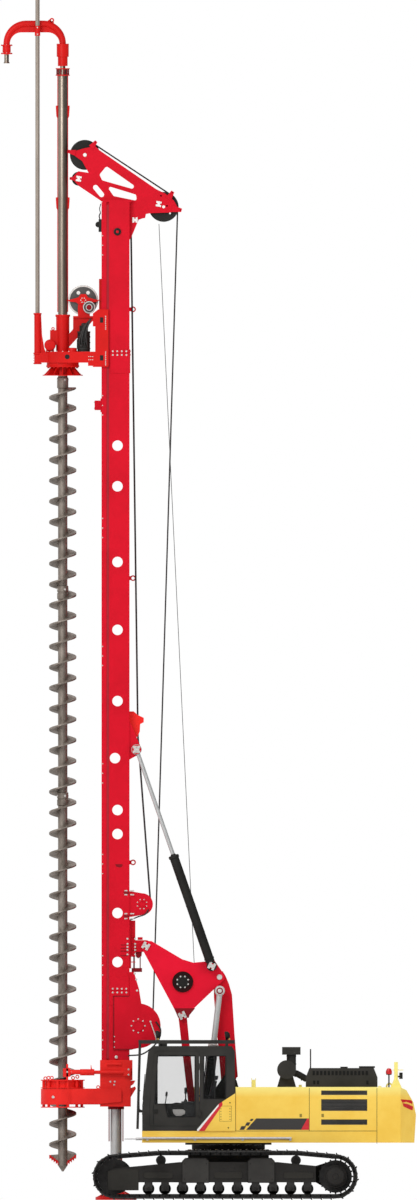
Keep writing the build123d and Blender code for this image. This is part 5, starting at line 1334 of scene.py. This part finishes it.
for side in SIDES:
    for x in (locker_hi.x - 0.16, house_lo.x + 0.25):
        y0, y1 = outward(side, house_hi.y, 0.006)
        brick(made, x - 0.022, x + 0.022, y0, y1, 1.555, 1.615)
        brick(made, x - 0.010, x + 0.010, *outward(side, house_hi.y, 0.014), 1.565,
              1.600)
piece("panel_latches", made, enamel("zinc_olive_latch", "A08B3E", "8F7B35"), "house", 0.002)

# %% [markdown]
# ## Stripes
#
# The house wears a dark band that starts with three small slanted bars and ends with a
# red corner. The cab's lower corner has a white and a red stripe. There is no lettering.

# %% Bands and stripes
band_y = house_hi.y
z0, z1 = deck_hi.z + 0.022, deck_hi.z + 0.236
x_end = house_lo.x - 0.006


def sticker(name, outline, material, sides=SIDES, y=band_y, thick=0.0016):
    mesh = bmesh.new()
    for side in sides:
        prism(mesh, outline, *sorted((side * y, side * (y + thick))))
    return piece(name, mesh, material, "house")


x0 = locker_lo.x + 0.20
sticker("dark_band", [(x0, z0), (x_end, z0), (x_end, z1), (x0 + 0.19, z1)], dark_band)
sticker("red_band_corner", [(x_end - 0.15, z0), (x_end, z0), (x_end, z1), (x_end - 0.03, z1)], red_band,
        thick=0.0026)
made = bmesh.new()
for side in SIDES:
    for u, v, w, h in ((-0.125, 0.0, 0.086, 0.07), (-0.023, 0.077, 0.072, 0.064),
                       (0.066, 0.164, 0.050, 0.042)):
        prism(made, [(x0 + u, z0 + v), (x0 + u + w, z0 + v), (x0 + u + w + h * 0.56, z0 + v + h),
                     (x0 + u + h * 0.56, z0 + v + h)],
              *outward(side, band_y, 0.0016))
piece("small_band_bars", made, dark_band, "house")
cover_lo, cover_hi = BOX["cab_side_cover"]
cy = -cover_lo.y
low, high = Vector((cover_lo.x, cover_lo.z + 0.031)), Vector((cover_lo.x + 0.405, cover_lo.z + 0.506))
sticker("white_stripe", [(low.x, low.y), (low.x, cover_lo.z), (low.x + 0.03, cover_lo.z),
                         (high.x - 0.005, high.y - 0.045), (high.x, high.y)],
        white_band, (-1,), cy, 0.003)
sticker("red_stripe", [(low.x + 0.03, cover_lo.z), (low.x + 0.14, cover_lo.z),
                       (high.x + 0.075, high.y - 0.015),
                       (high.x + 0.065, high.y + 0.042), (high.x, high.y),
                       (high.x - 0.005, high.y - 0.045)],
        red_band, (-1,), cy, 0.003)
made = bmesh.new()
hx0, hx1, hz0, hz1 = cover_hi.x - 0.30, cover_hi.x - 0.07, deck_hi.z + 0.18, deck_hi.z + 0.47
frame_w = 0.004
for x0, x1, low_z, high_z in ((hx0, hx1, hz1 - frame_w, hz1), (hx0, hx1, hz0, hz0 + frame_w),
                              (hx0, hx0 + frame_w, hz0, hz1),
                              (hx1 - frame_w, hx1, hz0, hz1)):
    brick(made, x0, x1, -cy - 0.002, -cy + 0.001, low_z, high_z)
for i in range(5):
    for x in (hx0 + 0.03, hx1 - 0.03):
        brick(made, x - 0.008, x + 0.008, -cy - 0.003, -cy + 0.001, hz0 + 0.03 + i * 0.05,
              hz0 + 0.042 + i * 0.05)
turned(made, (hx1 - 0.03, -cy, hz1 + 0.06), (0, -1, 0), [(0.012, 0), (0.012, 0.006)], 14)
turned(made, (hx1 - 0.06, -cy, hz0 - 0.12), (0, -1, 0), [(0.012, 0), (0.012, 0.006)], 14)
piece("side_hatch_outline", made, black_rubber_and_shade, "house")

# %% [markdown]
# ## Things on the roof of the house
#
# The hood has a row of slots just under its edge. A pipe carries clean air from the
# filter into the hood. Beacon, camera post and work lamp stand at the back, and an antenna
# on the hood.

# %% Hood slots, intake pipe, beacon, posts and antenna
hood_lo, hood_hi = BOX["engine_hood"]
air_lo, air_hi = BOX["air_cleaner"]
beacon = Vector((3.392, -1.0, 2.36))
made = bmesh.new()
for y in (hood_lo.y - 0.0015, hood_hi.y + 0.0015):
    for i in range(15):
        x = hood_lo.x + 0.15 + i * 0.071
        brick(made, x - 0.022, x + 0.022, y - 0.002, y + 0.002, hood_hi.z - 0.135, hood_hi.z - 0.055)
    for x in (hood_lo.x + 0.16, hood_lo.x + 0.23, hood_hi.x - 0.19):
        brick(made, x - 0.020, x + 0.020, y - 0.002, y + 0.002, hood_lo.z + 0.05, hood_lo.z + 0.12)
piece("hood_slots", made, moulded("shadowed_opening", "050505", 0.9), "house")
made = bmesh.new()
mid_y = (air_lo.y + air_hi.y) / 2
tube(made, curve([(1.50, mid_y, 2.40), (1.66, mid_y, 2.37), (hood_lo.x + 0.02, mid_y, 2.265)]), 0.062, 20)
for u in (0.0, 1.0):
    x = 1.66 + u * 0.12
    turned(made, (x, mid_y, 2.365 - u * 0.065), (0.87, 0, -0.5), [(0.068, -0.012), (0.068, 0.012)], 24)
for y in (air_lo.y, air_hi.y):
    turned(made, (1.474, y, 2.443), (0, 1 if y > mid_y else -1, 0),
           [(0.172, -0.01), (0.172, 0.004), (0.10, 0.010), (0.03, 0.010)], 40)
for z in (2.55, 2.70):
    turned(made, (1.562, mid_y, z), (0, 0, 1), [(0.094, -0.01), (0.094, 0.01)], 30)
piece("air_intake_pipe", made, charcoal, "house")
made = bmesh.new()
for i, (x, w) in enumerate(((2.55, 0.14), (2.98, 0.30))):
    brick(made, x - w / 2, x + w / 2, hood_lo.y + 0.3, hood_hi.y - 0.3, hood_hi.z,
          hood_hi.z + 0.025 + 0.01 * i)
tube(made, [(hood_lo.x + 0.09, hood_lo.y + 0.1, hood_hi.z - 0.05),
            (hood_lo.x + 0.09, hood_lo.y + 0.1, 2.831)], 0.013, 8)
piece("hood_caps_and_antenna", made, charcoal, "house", 0.004)
made = bmesh.new()
turned(made, beacon, (0, 0, 1),
       [(0.052, 0), (0.058, 0.02), (0.058, 0.05), (0.040, 0.10), (0.012, 0.115)], 28)
piece("beacon_lens", made, red_lens, "house")
made = bmesh.new()
tube(made, [beacon - Vector((0, 0, 0.26)), beacon], 0.014, 12)
turned(made, beacon - Vector((0, 0, 0.015)), (0, 0, 1), [(0.05, 0), (0.05, 0.016)], 28)
brick(made, 3.585, 3.650, -1.09, -0.95, 2.27, 2.39)
brick(made, 3.55, 3.60, -1.04, -1.01, 2.30, 2.33)
piece("beacon_post_and_lamp", made, black_enamel, "house", 0.004)
made = bmesh.new()
brick(made, 3.490, 3.560, -1.05, -0.98, 2.11, 2.587)
prism(made, [(3.42, 2.11), (3.63, 2.11), (3.565, 2.26), (3.485, 2.26)], -1.055, -1.045)
brick(made, 3.46, 3.66, -1.03, -1.02, 2.43, 2.445)
brick(made, 0.815, 0.895, -1.05, -0.97, 2.119, 2.255)
for x in (0.812, 0.888):
    brick(made, x, x + 0.012, -1.05, -0.97, 2.255, 2.285)
brick(made, 1.70, 1.76, -1.0, -0.94, 2.115, 2.16)
piece("yellow_posts", made, house_yellow, "house", 0.004)
made = bmesh.new()
corner_x = weight_hi.x - 0.290
for side in SIDES:
    for outline in ([(-0.296, 1.889), (-0.107, 1.874), (-0.071, 1.848), (-0.080, 1.800), (-0.184, 1.843),
                     (-0.255, 1.825)],
                    [(-0.255, 1.815), (-0.163, 1.800), (-0.060, 1.753), (-0.070, 1.681), (-0.143, 1.708),
                     (-0.235, 1.753)]):
        under = []
        for u, z in outline:
            x = weight_hi.x + u
            chamfer = max(0.0, x - corner_x) * 0.42 / 0.29
            under.append(Vector((x, side * (weight_hi.y - 0.001 - chamfer), z)))
        plate(made, under, [corner + Vector((0.006, side * 0.005, 0)) for corner in under])
piece("tail_lamps", made, red_lens, "house", 0.002)
made = bmesh.new()
for y in (-0.75, 0.75):
    tube(made, [(3.40 + 0.05 * math.cos(a), y, weight_hi.z + 0.01 + 0.06 * math.sin(a)) for a in
                (math.radians(-10 + 200 * i / 14) for i in range(15))], 0.016, 10)
    tube(made, [(3.22, y * 1.8, house_hi.z), (3.22, y * 1.8, house_hi.z + 0.02)], 0.03, 14)
piece("weight_lifting_eyes", made, house_yellow, "house")

# %% [markdown]
# ## Cab
#
# Panes sit in rubber. The door has a bar handle and a lock, the front screen a wiper
# between two grab bars. Lamps stand on the roof guard.

# %% Cab trim: seals, handles, wiper and lamps
cab_lo, cab_hi = BOX["cab_shell"]
pane_lo, pane_hi = BOX["door_glass"]
guard_lo, guard_hi = BOX["cab_guard"]
outer_y = -1.500
lamp_spots = ((guard_lo.x + 0.40, -1.33, 3.035), (guard_hi.x - 0.15, -1.33, 3.02),
              (guard_lo.x + 0.40, -0.67, 3.035))
made = bmesh.new()
x0, x1, z0, z1 = -0.080, 0.330, 1.900, 2.700
tube(made, [(x0, outer_y, z0), (x1, outer_y, z0), (x1, outer_y, z1), (x0, outer_y, z1)], 0.012, 8,
     loop=True)
brick(made, (x0 + x1) / 2 - 0.014, (x0 + x1) / 2 + 0.014, outer_y + 0.004, outer_y + 0.03, z0, z1)
tube(made, [(-0.95, cab_hi.y, 1.8), (0.33, cab_hi.y, 1.8), (0.33, cab_hi.y, 2.7), (-0.95, cab_hi.y, 2.7)],
     0.012, 8, loop=True)
piece("window_seals", made, black_rubber_and_shade, "house")
made = bmesh.new()
edge = [(pane_lo.x, 1.800), (pane_lo.x + 0.06, pane_hi.z), (pane_hi.x, pane_hi.z), (pane_hi.x, pane_lo.z),
        (pane_lo.x + 0.25, pane_lo.z), (pane_lo.x + 0.19, 1.800)]
tube(made, [(x, outer_y, z) for x, z in edge], 0.011, 8, loop=True)
tube(made, [(pane_lo.x - 0.025, outer_y - 0.002, 1.42), (pane_lo.x - 0.025, outer_y - 0.002, 1.78)], 0.006,
     6)
piece("door_seal", made, black_rubber_and_shade, "cab_door")
made = bmesh.new()
tube(made, curve([(pane_lo.x + 0.03, outer_y, 2.02), (pane_lo.x + 0.03, outer_y - 0.04, 2.04),
                  (pane_lo.x + 0.03, outer_y - 0.04, 2.20),
                  (pane_lo.x + 0.03, outer_y, 2.22)], 5), 0.010, 10)
brick(made, pane_lo.x - 0.03, pane_lo.x + 0.06, outer_y - 0.012, outer_y, 1.62, 1.70)
turned(made, (pane_lo.x + 0.03, outer_y - 0.012, 1.66), (0, -1, 0), [(0.016, 0), (0.016, 0.008)], 16)
piece("door_handle", made, black_enamel, "cab_door", 0.002)
made = bmesh.new()
for y, reach in ((cab_lo.y + 0.06, -0.02), (cab_hi.y - 0.06, 0.02)):
    tube(made, curve([(cab_lo.x - 0.04, y, 2.05), (cab_lo.x - 0.055, y + reach, 2.02),
                      (cab_lo.x - 0.055, y + reach, 1.72),
                      (cab_lo.x - 0.035, y, 1.69)], 5), 0.010, 10)
tube(made, [(cab_lo.x + 0.02, -0.95, 1.62), (cab_lo.x + 0.035, -1.18, 2.10)], 0.008, 8)
tube(made, [(cab_lo.x + 0.012, -1.27, 1.88), (cab_lo.x + 0.052, -1.10, 2.36)], 0.007, 8)
turned(made, (cab_lo.x + 0.015, -0.95, 1.62), (-1, 0, 0), [(0.022, 0), (0.018, 0.02)], 16)
piece("wiper_and_grab_bars", made, black_enamel, "house")
made = bmesh.new()
for x, y, z in lamp_spots:
    turned(made, (x, y, z + 0.065), (-1, 0, -0.15),
           [(0.035, -0.06), (0.075, -0.02), (0.078, 0.03), (0.070, 0.034)], 28)
    brick(made, x - 0.02, x + 0.02, y - 0.03, y + 0.03, z - 0.04, z + 0.02)
x = guard_lo.x + 0.45
brick(made, x, x + 0.13, -1.46, -1.30, cab_hi.z, guard_hi.z - 0.06)
piece("guard_lamps", made, black_enamel, "house", 0.002)
made = bmesh.new()
for x, y, z in lamp_spots:
    turned(made, (x - 0.028, y, z + 0.061), (-1, 0, -0.15), [(0.068, 0), (0.060, 0.008), (0.03, 0.012)], 28)
piece("lamp_lenses", made, laminated_glass("clear_lamp_lens", "EDEDEA"), "house")
made = bmesh.new()
for x, z in ((guard_lo.x + 0.41, guard_hi.z), (guard_hi.x - 0.10, guard_hi.z)):
    turned(made, (x, -1.44, z), (0, 0, 1), [(0.016, 0), (0.016, 0.03), (0.010, 0.034)], 14)
piece("guard_fittings", made, brass, "house")

# %% [markdown]
# ## Operator's place
#
# The seat is foam under cloth on a sprung base. Consoles carry a joystick each, pedals
# and travel levers stand in front, and a screen is fixed to the front pillar.

# %% Seat and controls
seat_y = -1.0
floor_z = deck_hi.z + 0.05


def cushion(name, sections, half, material):
    """A stuffed shape: rounded slices along a path of (x, z, thickness, direction)."""
    mesh = bmesh.new()
    rings = []
    for x, z, thick, lean in sections:
        ring = []
        for i in range(28):
            a = 2 * math.pi * i / 28
            u = math.copysign(abs(math.cos(a)) ** 0.45, math.cos(a)) * half
            v = math.copysign(abs(math.sin(a)) ** 0.6, math.sin(a)) * thick / 2
            ring.append(mesh.verts.new((x - v * math.sin(lean), seat_y + u, z + v * math.cos(lean))))
        rings.append(ring)
    for low, high in zip(rings, rings[1:]):
        for i in range(28):
            j = (i + 1) % 28
            mesh.faces.new((low[i], low[j], high[j], high[i]))
    mesh.faces.new(rings[0][::-1])
    mesh.faces.new(rings[-1])
    made = piece(name, mesh, material, "house")
    return made


flat = [(-0.465, 1.68, 0.03, 0.0), (-0.46, 1.68, 0.08, 0.0), (-0.42, 1.685, 0.12, 0.0),
        (-0.20, 1.68, 0.115, 0.0),
        (0.00, 1.675, 0.12, 0.0), (0.05, 1.68, 0.08, 0.0)]
cushion("seat_cushion", flat, 0.245, seat_cloth)
lean = math.radians(98)
rise = [(0.035, 1.70, 0.03, lean), (0.04, 1.72, 0.10, lean), (0.06, 1.90, 0.13, lean),
        (0.10, 2.10, 0.10, lean),
        (0.125, 2.22, 0.09, lean), (0.13, 2.235, 0.03, lean)]
cushion("seat_back", rise, 0.235, seat_cloth)
head_rest = [(0.14, 2.245, 0.03, lean), (0.145, 2.255, 0.08, lean), (0.155, 2.32, 0.08, lean),
             (0.157, 2.33, 0.03, lean)]
cushion("seat_headrest", head_rest, 0.13, seat_cloth)
made = bmesh.new()
brick(made, -0.42, 0.08, seat_y - 0.23, seat_y + 0.23, floor_z, floor_z + 0.05)
for k in range(5):
    z = floor_z + 0.05 + k * 0.045
    brick(made, -0.38 + 0.01 * (k % 2), 0.04 - 0.01 * (k % 2), seat_y - 0.20, seat_y + 0.20, z, z + 0.040)
for side in SIDES:
    y = seat_y + side * 0.33
    brick(made, -0.44, 0.02, y - 0.06, y + 0.06, floor_z + 0.02, 1.80)
    brick(made, -0.50, 0.0, y - 0.065, y + 0.065, 1.80, 1.85)
    turned(made, (-0.42, y, 1.85), (0, 0, 1),
           [(0.035, 0), (0.030, 0.02), (0.012, 0.045), (0.012, 0.13), (0.024, 0.15), (0.027, 0.23),
                                               (0.018, 0.26)], 18)
    brick(made, -0.20, 0.06, y - 0.035, y + 0.035, 1.93, 1.97)
    tube(made, [(0.03, y, 1.85), (0.05, y, 1.95)], 0.018, 10)
console_black = moulded("polypropylene_black", "232323", 0.55)
seat_base = piece("seat_base_and_consoles", made, console_black, "house", 0.006)
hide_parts("operator_seat")
made = bmesh.new()
for side in SIDES:
    y = seat_y + side * 0.11
    tube(made, curve([(-0.88, y, floor_z + 0.05), (-0.86, y, floor_z + 0.25), (-0.80, y, floor_z + 0.48),
                      (-0.78, y, floor_z + 0.62)], 6),
         0.010, 10)
    turned(made, (-0.782, y, floor_z + 0.60), (0.1, 0, 1), [(0.020, 0), (0.022, 0.06), (0.012, 0.09)], 16)
    prism(made, [(-0.98, floor_z + 0.03), (-0.84, floor_z + 0.02), (-0.84, floor_z + 0.035),
                 (-0.98, floor_z + 0.12)], y - 0.045, y + 0.045)
brick(made, -1.16, -1.09, seat_y + 0.22, seat_y + 0.42, 1.45, 1.92)
prism(made, [(-1.15, 1.95), (-1.10, 1.94), (-1.07, 2.12), (-1.12, 2.13)], seat_y - 0.42, seat_y - 0.22)
prism(made, [(-1.15, 1.60), (-0.98, 1.60), (-0.93, 1.78), (-1.03, 1.98), (-1.11, 1.98)], cab_hi.y - 0.20,
      cab_hi.y - 0.09)
brick(made, -0.80, 0.35, cab_hi.y - 0.16, cab_hi.y - 0.055, floor_z, 1.76)
piece("levers_pedals_and_screen", made, moulded("abs_dark_grey", "2D2D2C", 0.5), "house",
      0.003)
made = bmesh.new()
prism(made, [(-1.098, 1.952), (-1.094, 1.952), (-1.066, 2.112), (-1.070, 2.113)], seat_y - 0.40,
      seat_y - 0.24)
piece("screen_glass", made, moulded("display_glass", "15181A", 0.1, coat=0.8), "house")

# %% [markdown]
# Through the door's glass the plastic lining of its lower half shows, with a pale pocket.

# %% Lining inside the door
made = bmesh.new()
brick(made, -1.05, -0.28, outer_y + 0.115, outer_y + 0.125, 1.46, 1.70)
prism(made, [(-1.05, 1.70), (-0.28, 1.70), (-0.28, 1.80), (-0.60, 1.83), (-0.86, 1.76), (-1.05, 1.74)],
      outer_y + 0.115, outer_y + 0.125)
piece("door_side_lining", made, moulded("abs_lining", "201F1E", 0.8), "house", 0.002)
made = bmesh.new()
prism(made, [(-0.666, 1.70), (-0.47, 1.70), (-0.43, 1.67), (-0.43, 1.62), (-0.51, 1.575), (-0.60, 1.575),
             (-0.65, 1.63)],
      outer_y + 0.107, outer_y + 0.114)
piece("lining_pocket", made, moulded("abs_light_grey", "B9B5B0", 0.6), "house", 0.002)

# %% [markdown]
# ## Hydraulics on the linkage
#
# Barrels end in a screwed gland with a wiper. Steel pipes run along them to the rod
# end, held by clips.

# %% Glands, pipes and clips
b, m = PIN["backstay_swing"], PIN["backstay_head"]
h, e = PIN["lift_barrel_swing"], PIN["lift_head"]
CYL = 0.325
for name, foot, head, barrel, radius, rod, body in (
        ("backstay", b, m, "backstay_barrels", 0.087, 0.038, "backstay_barrels"),
        ("lift", h, e, "lift_cylinder_barrels", 0.090, 0.054, "lift_barrels")):
    way = Vector((head.x - foot.x, 0, head.z - foot.z)).normalized()
    length = (BOX[barrel][1].z - foot.z - radius * abs(way.x)) / way.z
    across = Vector((way.z, 0, -way.x))
    made = bmesh.new()
    for side in SIDES:
        y = side * CYL
        start = Vector((foot.x, y, foot.z))
        turned(made, start + way * (length - 0.055), way,
               [(radius + 0.0005, 0), (radius + 0.012, 0.004), (radius + 0.012, 0.05), (radius, 0.058),
                                                          (rod + 0.02, 0.062), (rod + 0.0008, 0.085)], 36)
        turned(made, start + way * 0.13, way, [(radius + 0.0005, 0), (radius + 0.008, 0.004),
                                               (radius + 0.008, 0.03), (radius + 0.0005, 0.034)], 36)
    piece(f"{name}_glands", made, black_enamel if name == "backstay" else zinc, body)
    made = bmesh.new()
    for side in SIDES:
        start = Vector((foot.x, side * CYL, foot.z))
        off = (across * -0.35 + Vector((0, -side * 0.937, 0))) * (radius + 0.012)
        if name == "lift":
            off = -across * (radius + 0.012)
        tube(made, [start + way * 0.22 + off * 0.8, start + way * 0.26 + off,
                    start + way * (length - 0.16) + off,
                    start + way * (length - 0.12) + off * 0.8], 0.010, 10)
        for t in (0.3, 0.55, 0.8):
            spot = start + way * (length * t)
            turned(made, spot - way * 0.012, way, [(radius + 0.003, 0), (radius + 0.003, 0.024)], 30)
            turned(made, spot + off - way * 0.016, way, [(0.017, 0), (0.017, 0.032)], 12)
    piece(f"{name}_pipes", made, black_enamel, body)

# %% [markdown]
# ## Universal joint at the foot of the mast hinge
#
# Between mast and delta plates sits a cross joint in a bolted bracket, with a small
# platform under it.

# %% Hinge bracket on the mast
a = PIN["mast_tilt"]
made = bmesh.new()
brick(made, back_x, back_x + 0.03, -0.20, 0.20, a.z - 0.42, a.z + 0.50)
for dz in (-0.30, -0.18, -0.06, 0.06, 0.18):
    brick(made, back_x, back_x + 0.11, -0.19, 0.19, a.z + dz - 0.008, a.z + dz + 0.008)
for dz in (0.34, 0.42):
    brick(made, back_x + 0.01, back_x + 0.085, -0.12, 0.12, a.z + dz - 0.03, a.z + dz + 0.02)
brick(made, a.x - 0.154, a.x - 0.06, -0.10, 0.10, a.z + 0.115, a.z + 0.166)
piece("hinge_bracket", made, mast_red, "mast", 0.003)
made = bmesh.new()
for sign in SIDES:
    for dz in (0.136, 0.039, -0.017, -0.074, -0.158):
        bolts(made, [(back_x - 0.038, sign * side_y, a.z + dz), (back_x + 0.105, sign * 0.19, a.z + dz)],
              (0, sign, 0), 0.015)
piece("hinge_bolts", made, zinc, "mast")
made = bmesh.new()
brick(made, back_x + 0.04, back_x + 0.235, -0.14, 0.14, a.z - 0.487, a.z - 0.412)
brick(made, back_x + 0.07, back_x + 0.10, -0.05, 0.05, a.z - 0.412, a.z - 0.142)
brick(made, back_x + 0.19, back_x + 0.21, -0.05, 0.05, a.z - 0.412, a.z - 0.142)
prism(made, [(back_x + 0.11, a.z - 0.10), (back_x + 0.235, a.z - 0.10), (back_x + 0.225, a.z - 0.19),
             (back_x + 0.16, a.z - 0.235),
             (back_x + 0.12, a.z - 0.20)], -0.12, 0.12)
# Thin maroon strips on the sides of the mast and of the winch cheeks are painted shade: ribs below the hinge
# bolts, plates round the winch studs, and a line along the front, top and bottom edges of the main winch
# cheek. A maroon wedge sits near 6.25 m.
for sign in SIDES:
    y0, y1 = sorted((sign * (side_y - 0.001), sign * (side_y + 0.006)))
    for dz in (0.020, -0.040, -0.096, -0.180):
        brick(made, back_x - 0.165, back_x - 0.035, y0, y1, a.z + dz - 0.008, a.z + dz + 0.008)
    for dz in (0.213, -0.226):
        brick(made, back_x - 0.110, back_x - 0.005, y0, y1, aux[1] + dz - 0.022, aux[1] + dz + 0.022)
    prism(made, [(back_x - 0.27, 6.295), (back_x - 0.128, 6.295), (back_x - 0.145, 6.25),
                 (back_x - 0.185, 6.235),
                 (back_x - 0.245, 6.25)], y0, y1)
    y0, y1 = sorted((sign * (cheek_out - 0.001), sign * (cheek_out + 0.005)))
    brick(made, main[0] - 0.470, main[0] - 0.450, y0, y1, main[1] - 0.43, main[1] + 0.56)
    brick(made, main[0] - 0.470, main[0] - 0.170, y0, y1, main[1] + 0.545, main[1] + 0.565)
    brick(made, main[0] - 0.470, main[0] - 0.110, y0, y1, main[1] - 0.448, main[1] - 0.432)
piece("hinge_platform_and_painted_shade", made, maroon_and_shade, "mast", 0.004)
made = bmesh.new()
plate_y = pin_y - 0.008
for sign in SIDES:
    prism(made, [(-0.636, 3.596), (-0.239, 3.596), (-0.345, 3.47), (-0.36, 3.416), (-0.56, 3.416)],
          *sorted((sign * (plate_y - 0.001), sign * (plate_y + 0.002))))
piece("delta_fork_shade", made, maroon_and_shade, "delta", 0.002)

# %% [markdown]
# ## Studio
#
# The background is plain white and the world lights the machine softly from all round.
# Three large lamps add a direction. Bright tubes need something dark to mirror, so for
# mirror rays alone the +X side of the world is dark, and the fill lamp is left out.

# %% Light, floor and camera
def studio():
    """A pale floor, a soft sky and three large lamps."""
    bpy.ops.mesh.primitive_plane_add(size=400, location=(0, 0, 0))
    floor = bpy.context.object
    floor.name = "floor"
    material, tree, shader, place = new_material("studio_floor")
    shader.inputs["Base Color"].default_value = (0.92, 0.92, 0.92, 1)
    shader.inputs["Roughness"].default_value = 0.9
    floor.data.materials.append(material)
    world = bpy.data.worlds.new("soft_sky")
    bpy.context.scene.world = world
    world.use_nodes = True
    tree = world.node_tree
    tree.nodes.clear()
    rays = add_node(tree, "ShaderNodeLightPath")
    seen = add_node(tree, "ShaderNodeMath", {"operation": "MAXIMUM"}, i0=rays.outputs["Is Camera Ray"],
                    i1=rays.outputs["Is Transmission Ray"])
    seen = add_node(tree, "ShaderNodeMath", {"operation": "MAXIMUM"}, i0=seen.outputs[0],
                    i1=rays.outputs["Is Glossy Ray"])
    light = add_node(tree, "ShaderNodeBackground", Color=(0.95, 0.97, 1.0, 1), Strength=0.62)
    toward = add_node(tree, "ShaderNodeSeparateXYZ",
                      Vector=add_node(tree, "ShaderNodeTexCoord").outputs["Generated"])
    card = add_node(tree, "ShaderNodeMapRange", {"interpolation_type": "SMOOTHSTEP"},
                    Value=toward.outputs["X"])
    card.inputs["From Min"].default_value = -0.25
    card.inputs["From Max"].default_value = 0.35
    card.inputs["To Max"].default_value = 0.97
    loss = add_node(tree, "ShaderNodeMath", {"operation": "MULTIPLY"}, i0=card.outputs["Result"],
                    i1=rays.outputs["Is Glossy Ray"])
    left = add_node(tree, "ShaderNodeMath", {"operation": "SUBTRACT"}, i1=loss.outputs[0])
    left.inputs[0].default_value = 1.0
    white = add_node(tree, "ShaderNodeBackground", Color=(1, 1, 1, 1))
    tree.links.new(left.outputs[0], white.inputs["Strength"])
    mix = add_node(tree, "ShaderNodeMixShader", i0=seen.outputs[0], i1=light.outputs[0],
                   i2=white.outputs[0])
    add_node(tree, "ShaderNodeOutputWorld", Surface=mix.outputs[0])
    for name, place, size, power in (("key", (-14, -26, 26), 14, 4200), ("fill", (20, -22, 10), 16, 1500),
                                     ("back", (6, 26, 24), 16, 1500)):
        lamp = bpy.data.lights.new(name, "AREA")
        lamp.size = size
        lamp.energy = power
        holder = bpy.data.objects.new(name, lamp)
        bpy.context.collection.objects.link(holder)
        holder.location = place
        aim = Vector((0, 0, 8)) - Vector(place)
        holder.rotation_euler = aim.to_track_quat("-Z", "Y").to_euler()
        holder.visible_glossy = name != "fill"


FRAME_HEIGHT = 22.5


def side_camera():
    """A level camera with parallel rays, looking along +Y at the cab side."""
    camera = bpy.data.cameras.new("side_elevation")
    camera.type = "ORTHO"
    camera.ortho_scale = FRAME_HEIGHT
    camera.clip_end = 300
    holder = bpy.data.objects.new("side_elevation", camera)
    bpy.context.collection.objects.link(holder)
    holder.location = (0.009, -45, FRAME_HEIGHT / 2)
    holder.rotation_euler = (math.pi / 2, 0, 0)
    bpy.context.scene.camera = holder


studio()
side_camera()
bpy.context.scene.view_settings.view_transform = "Standard"
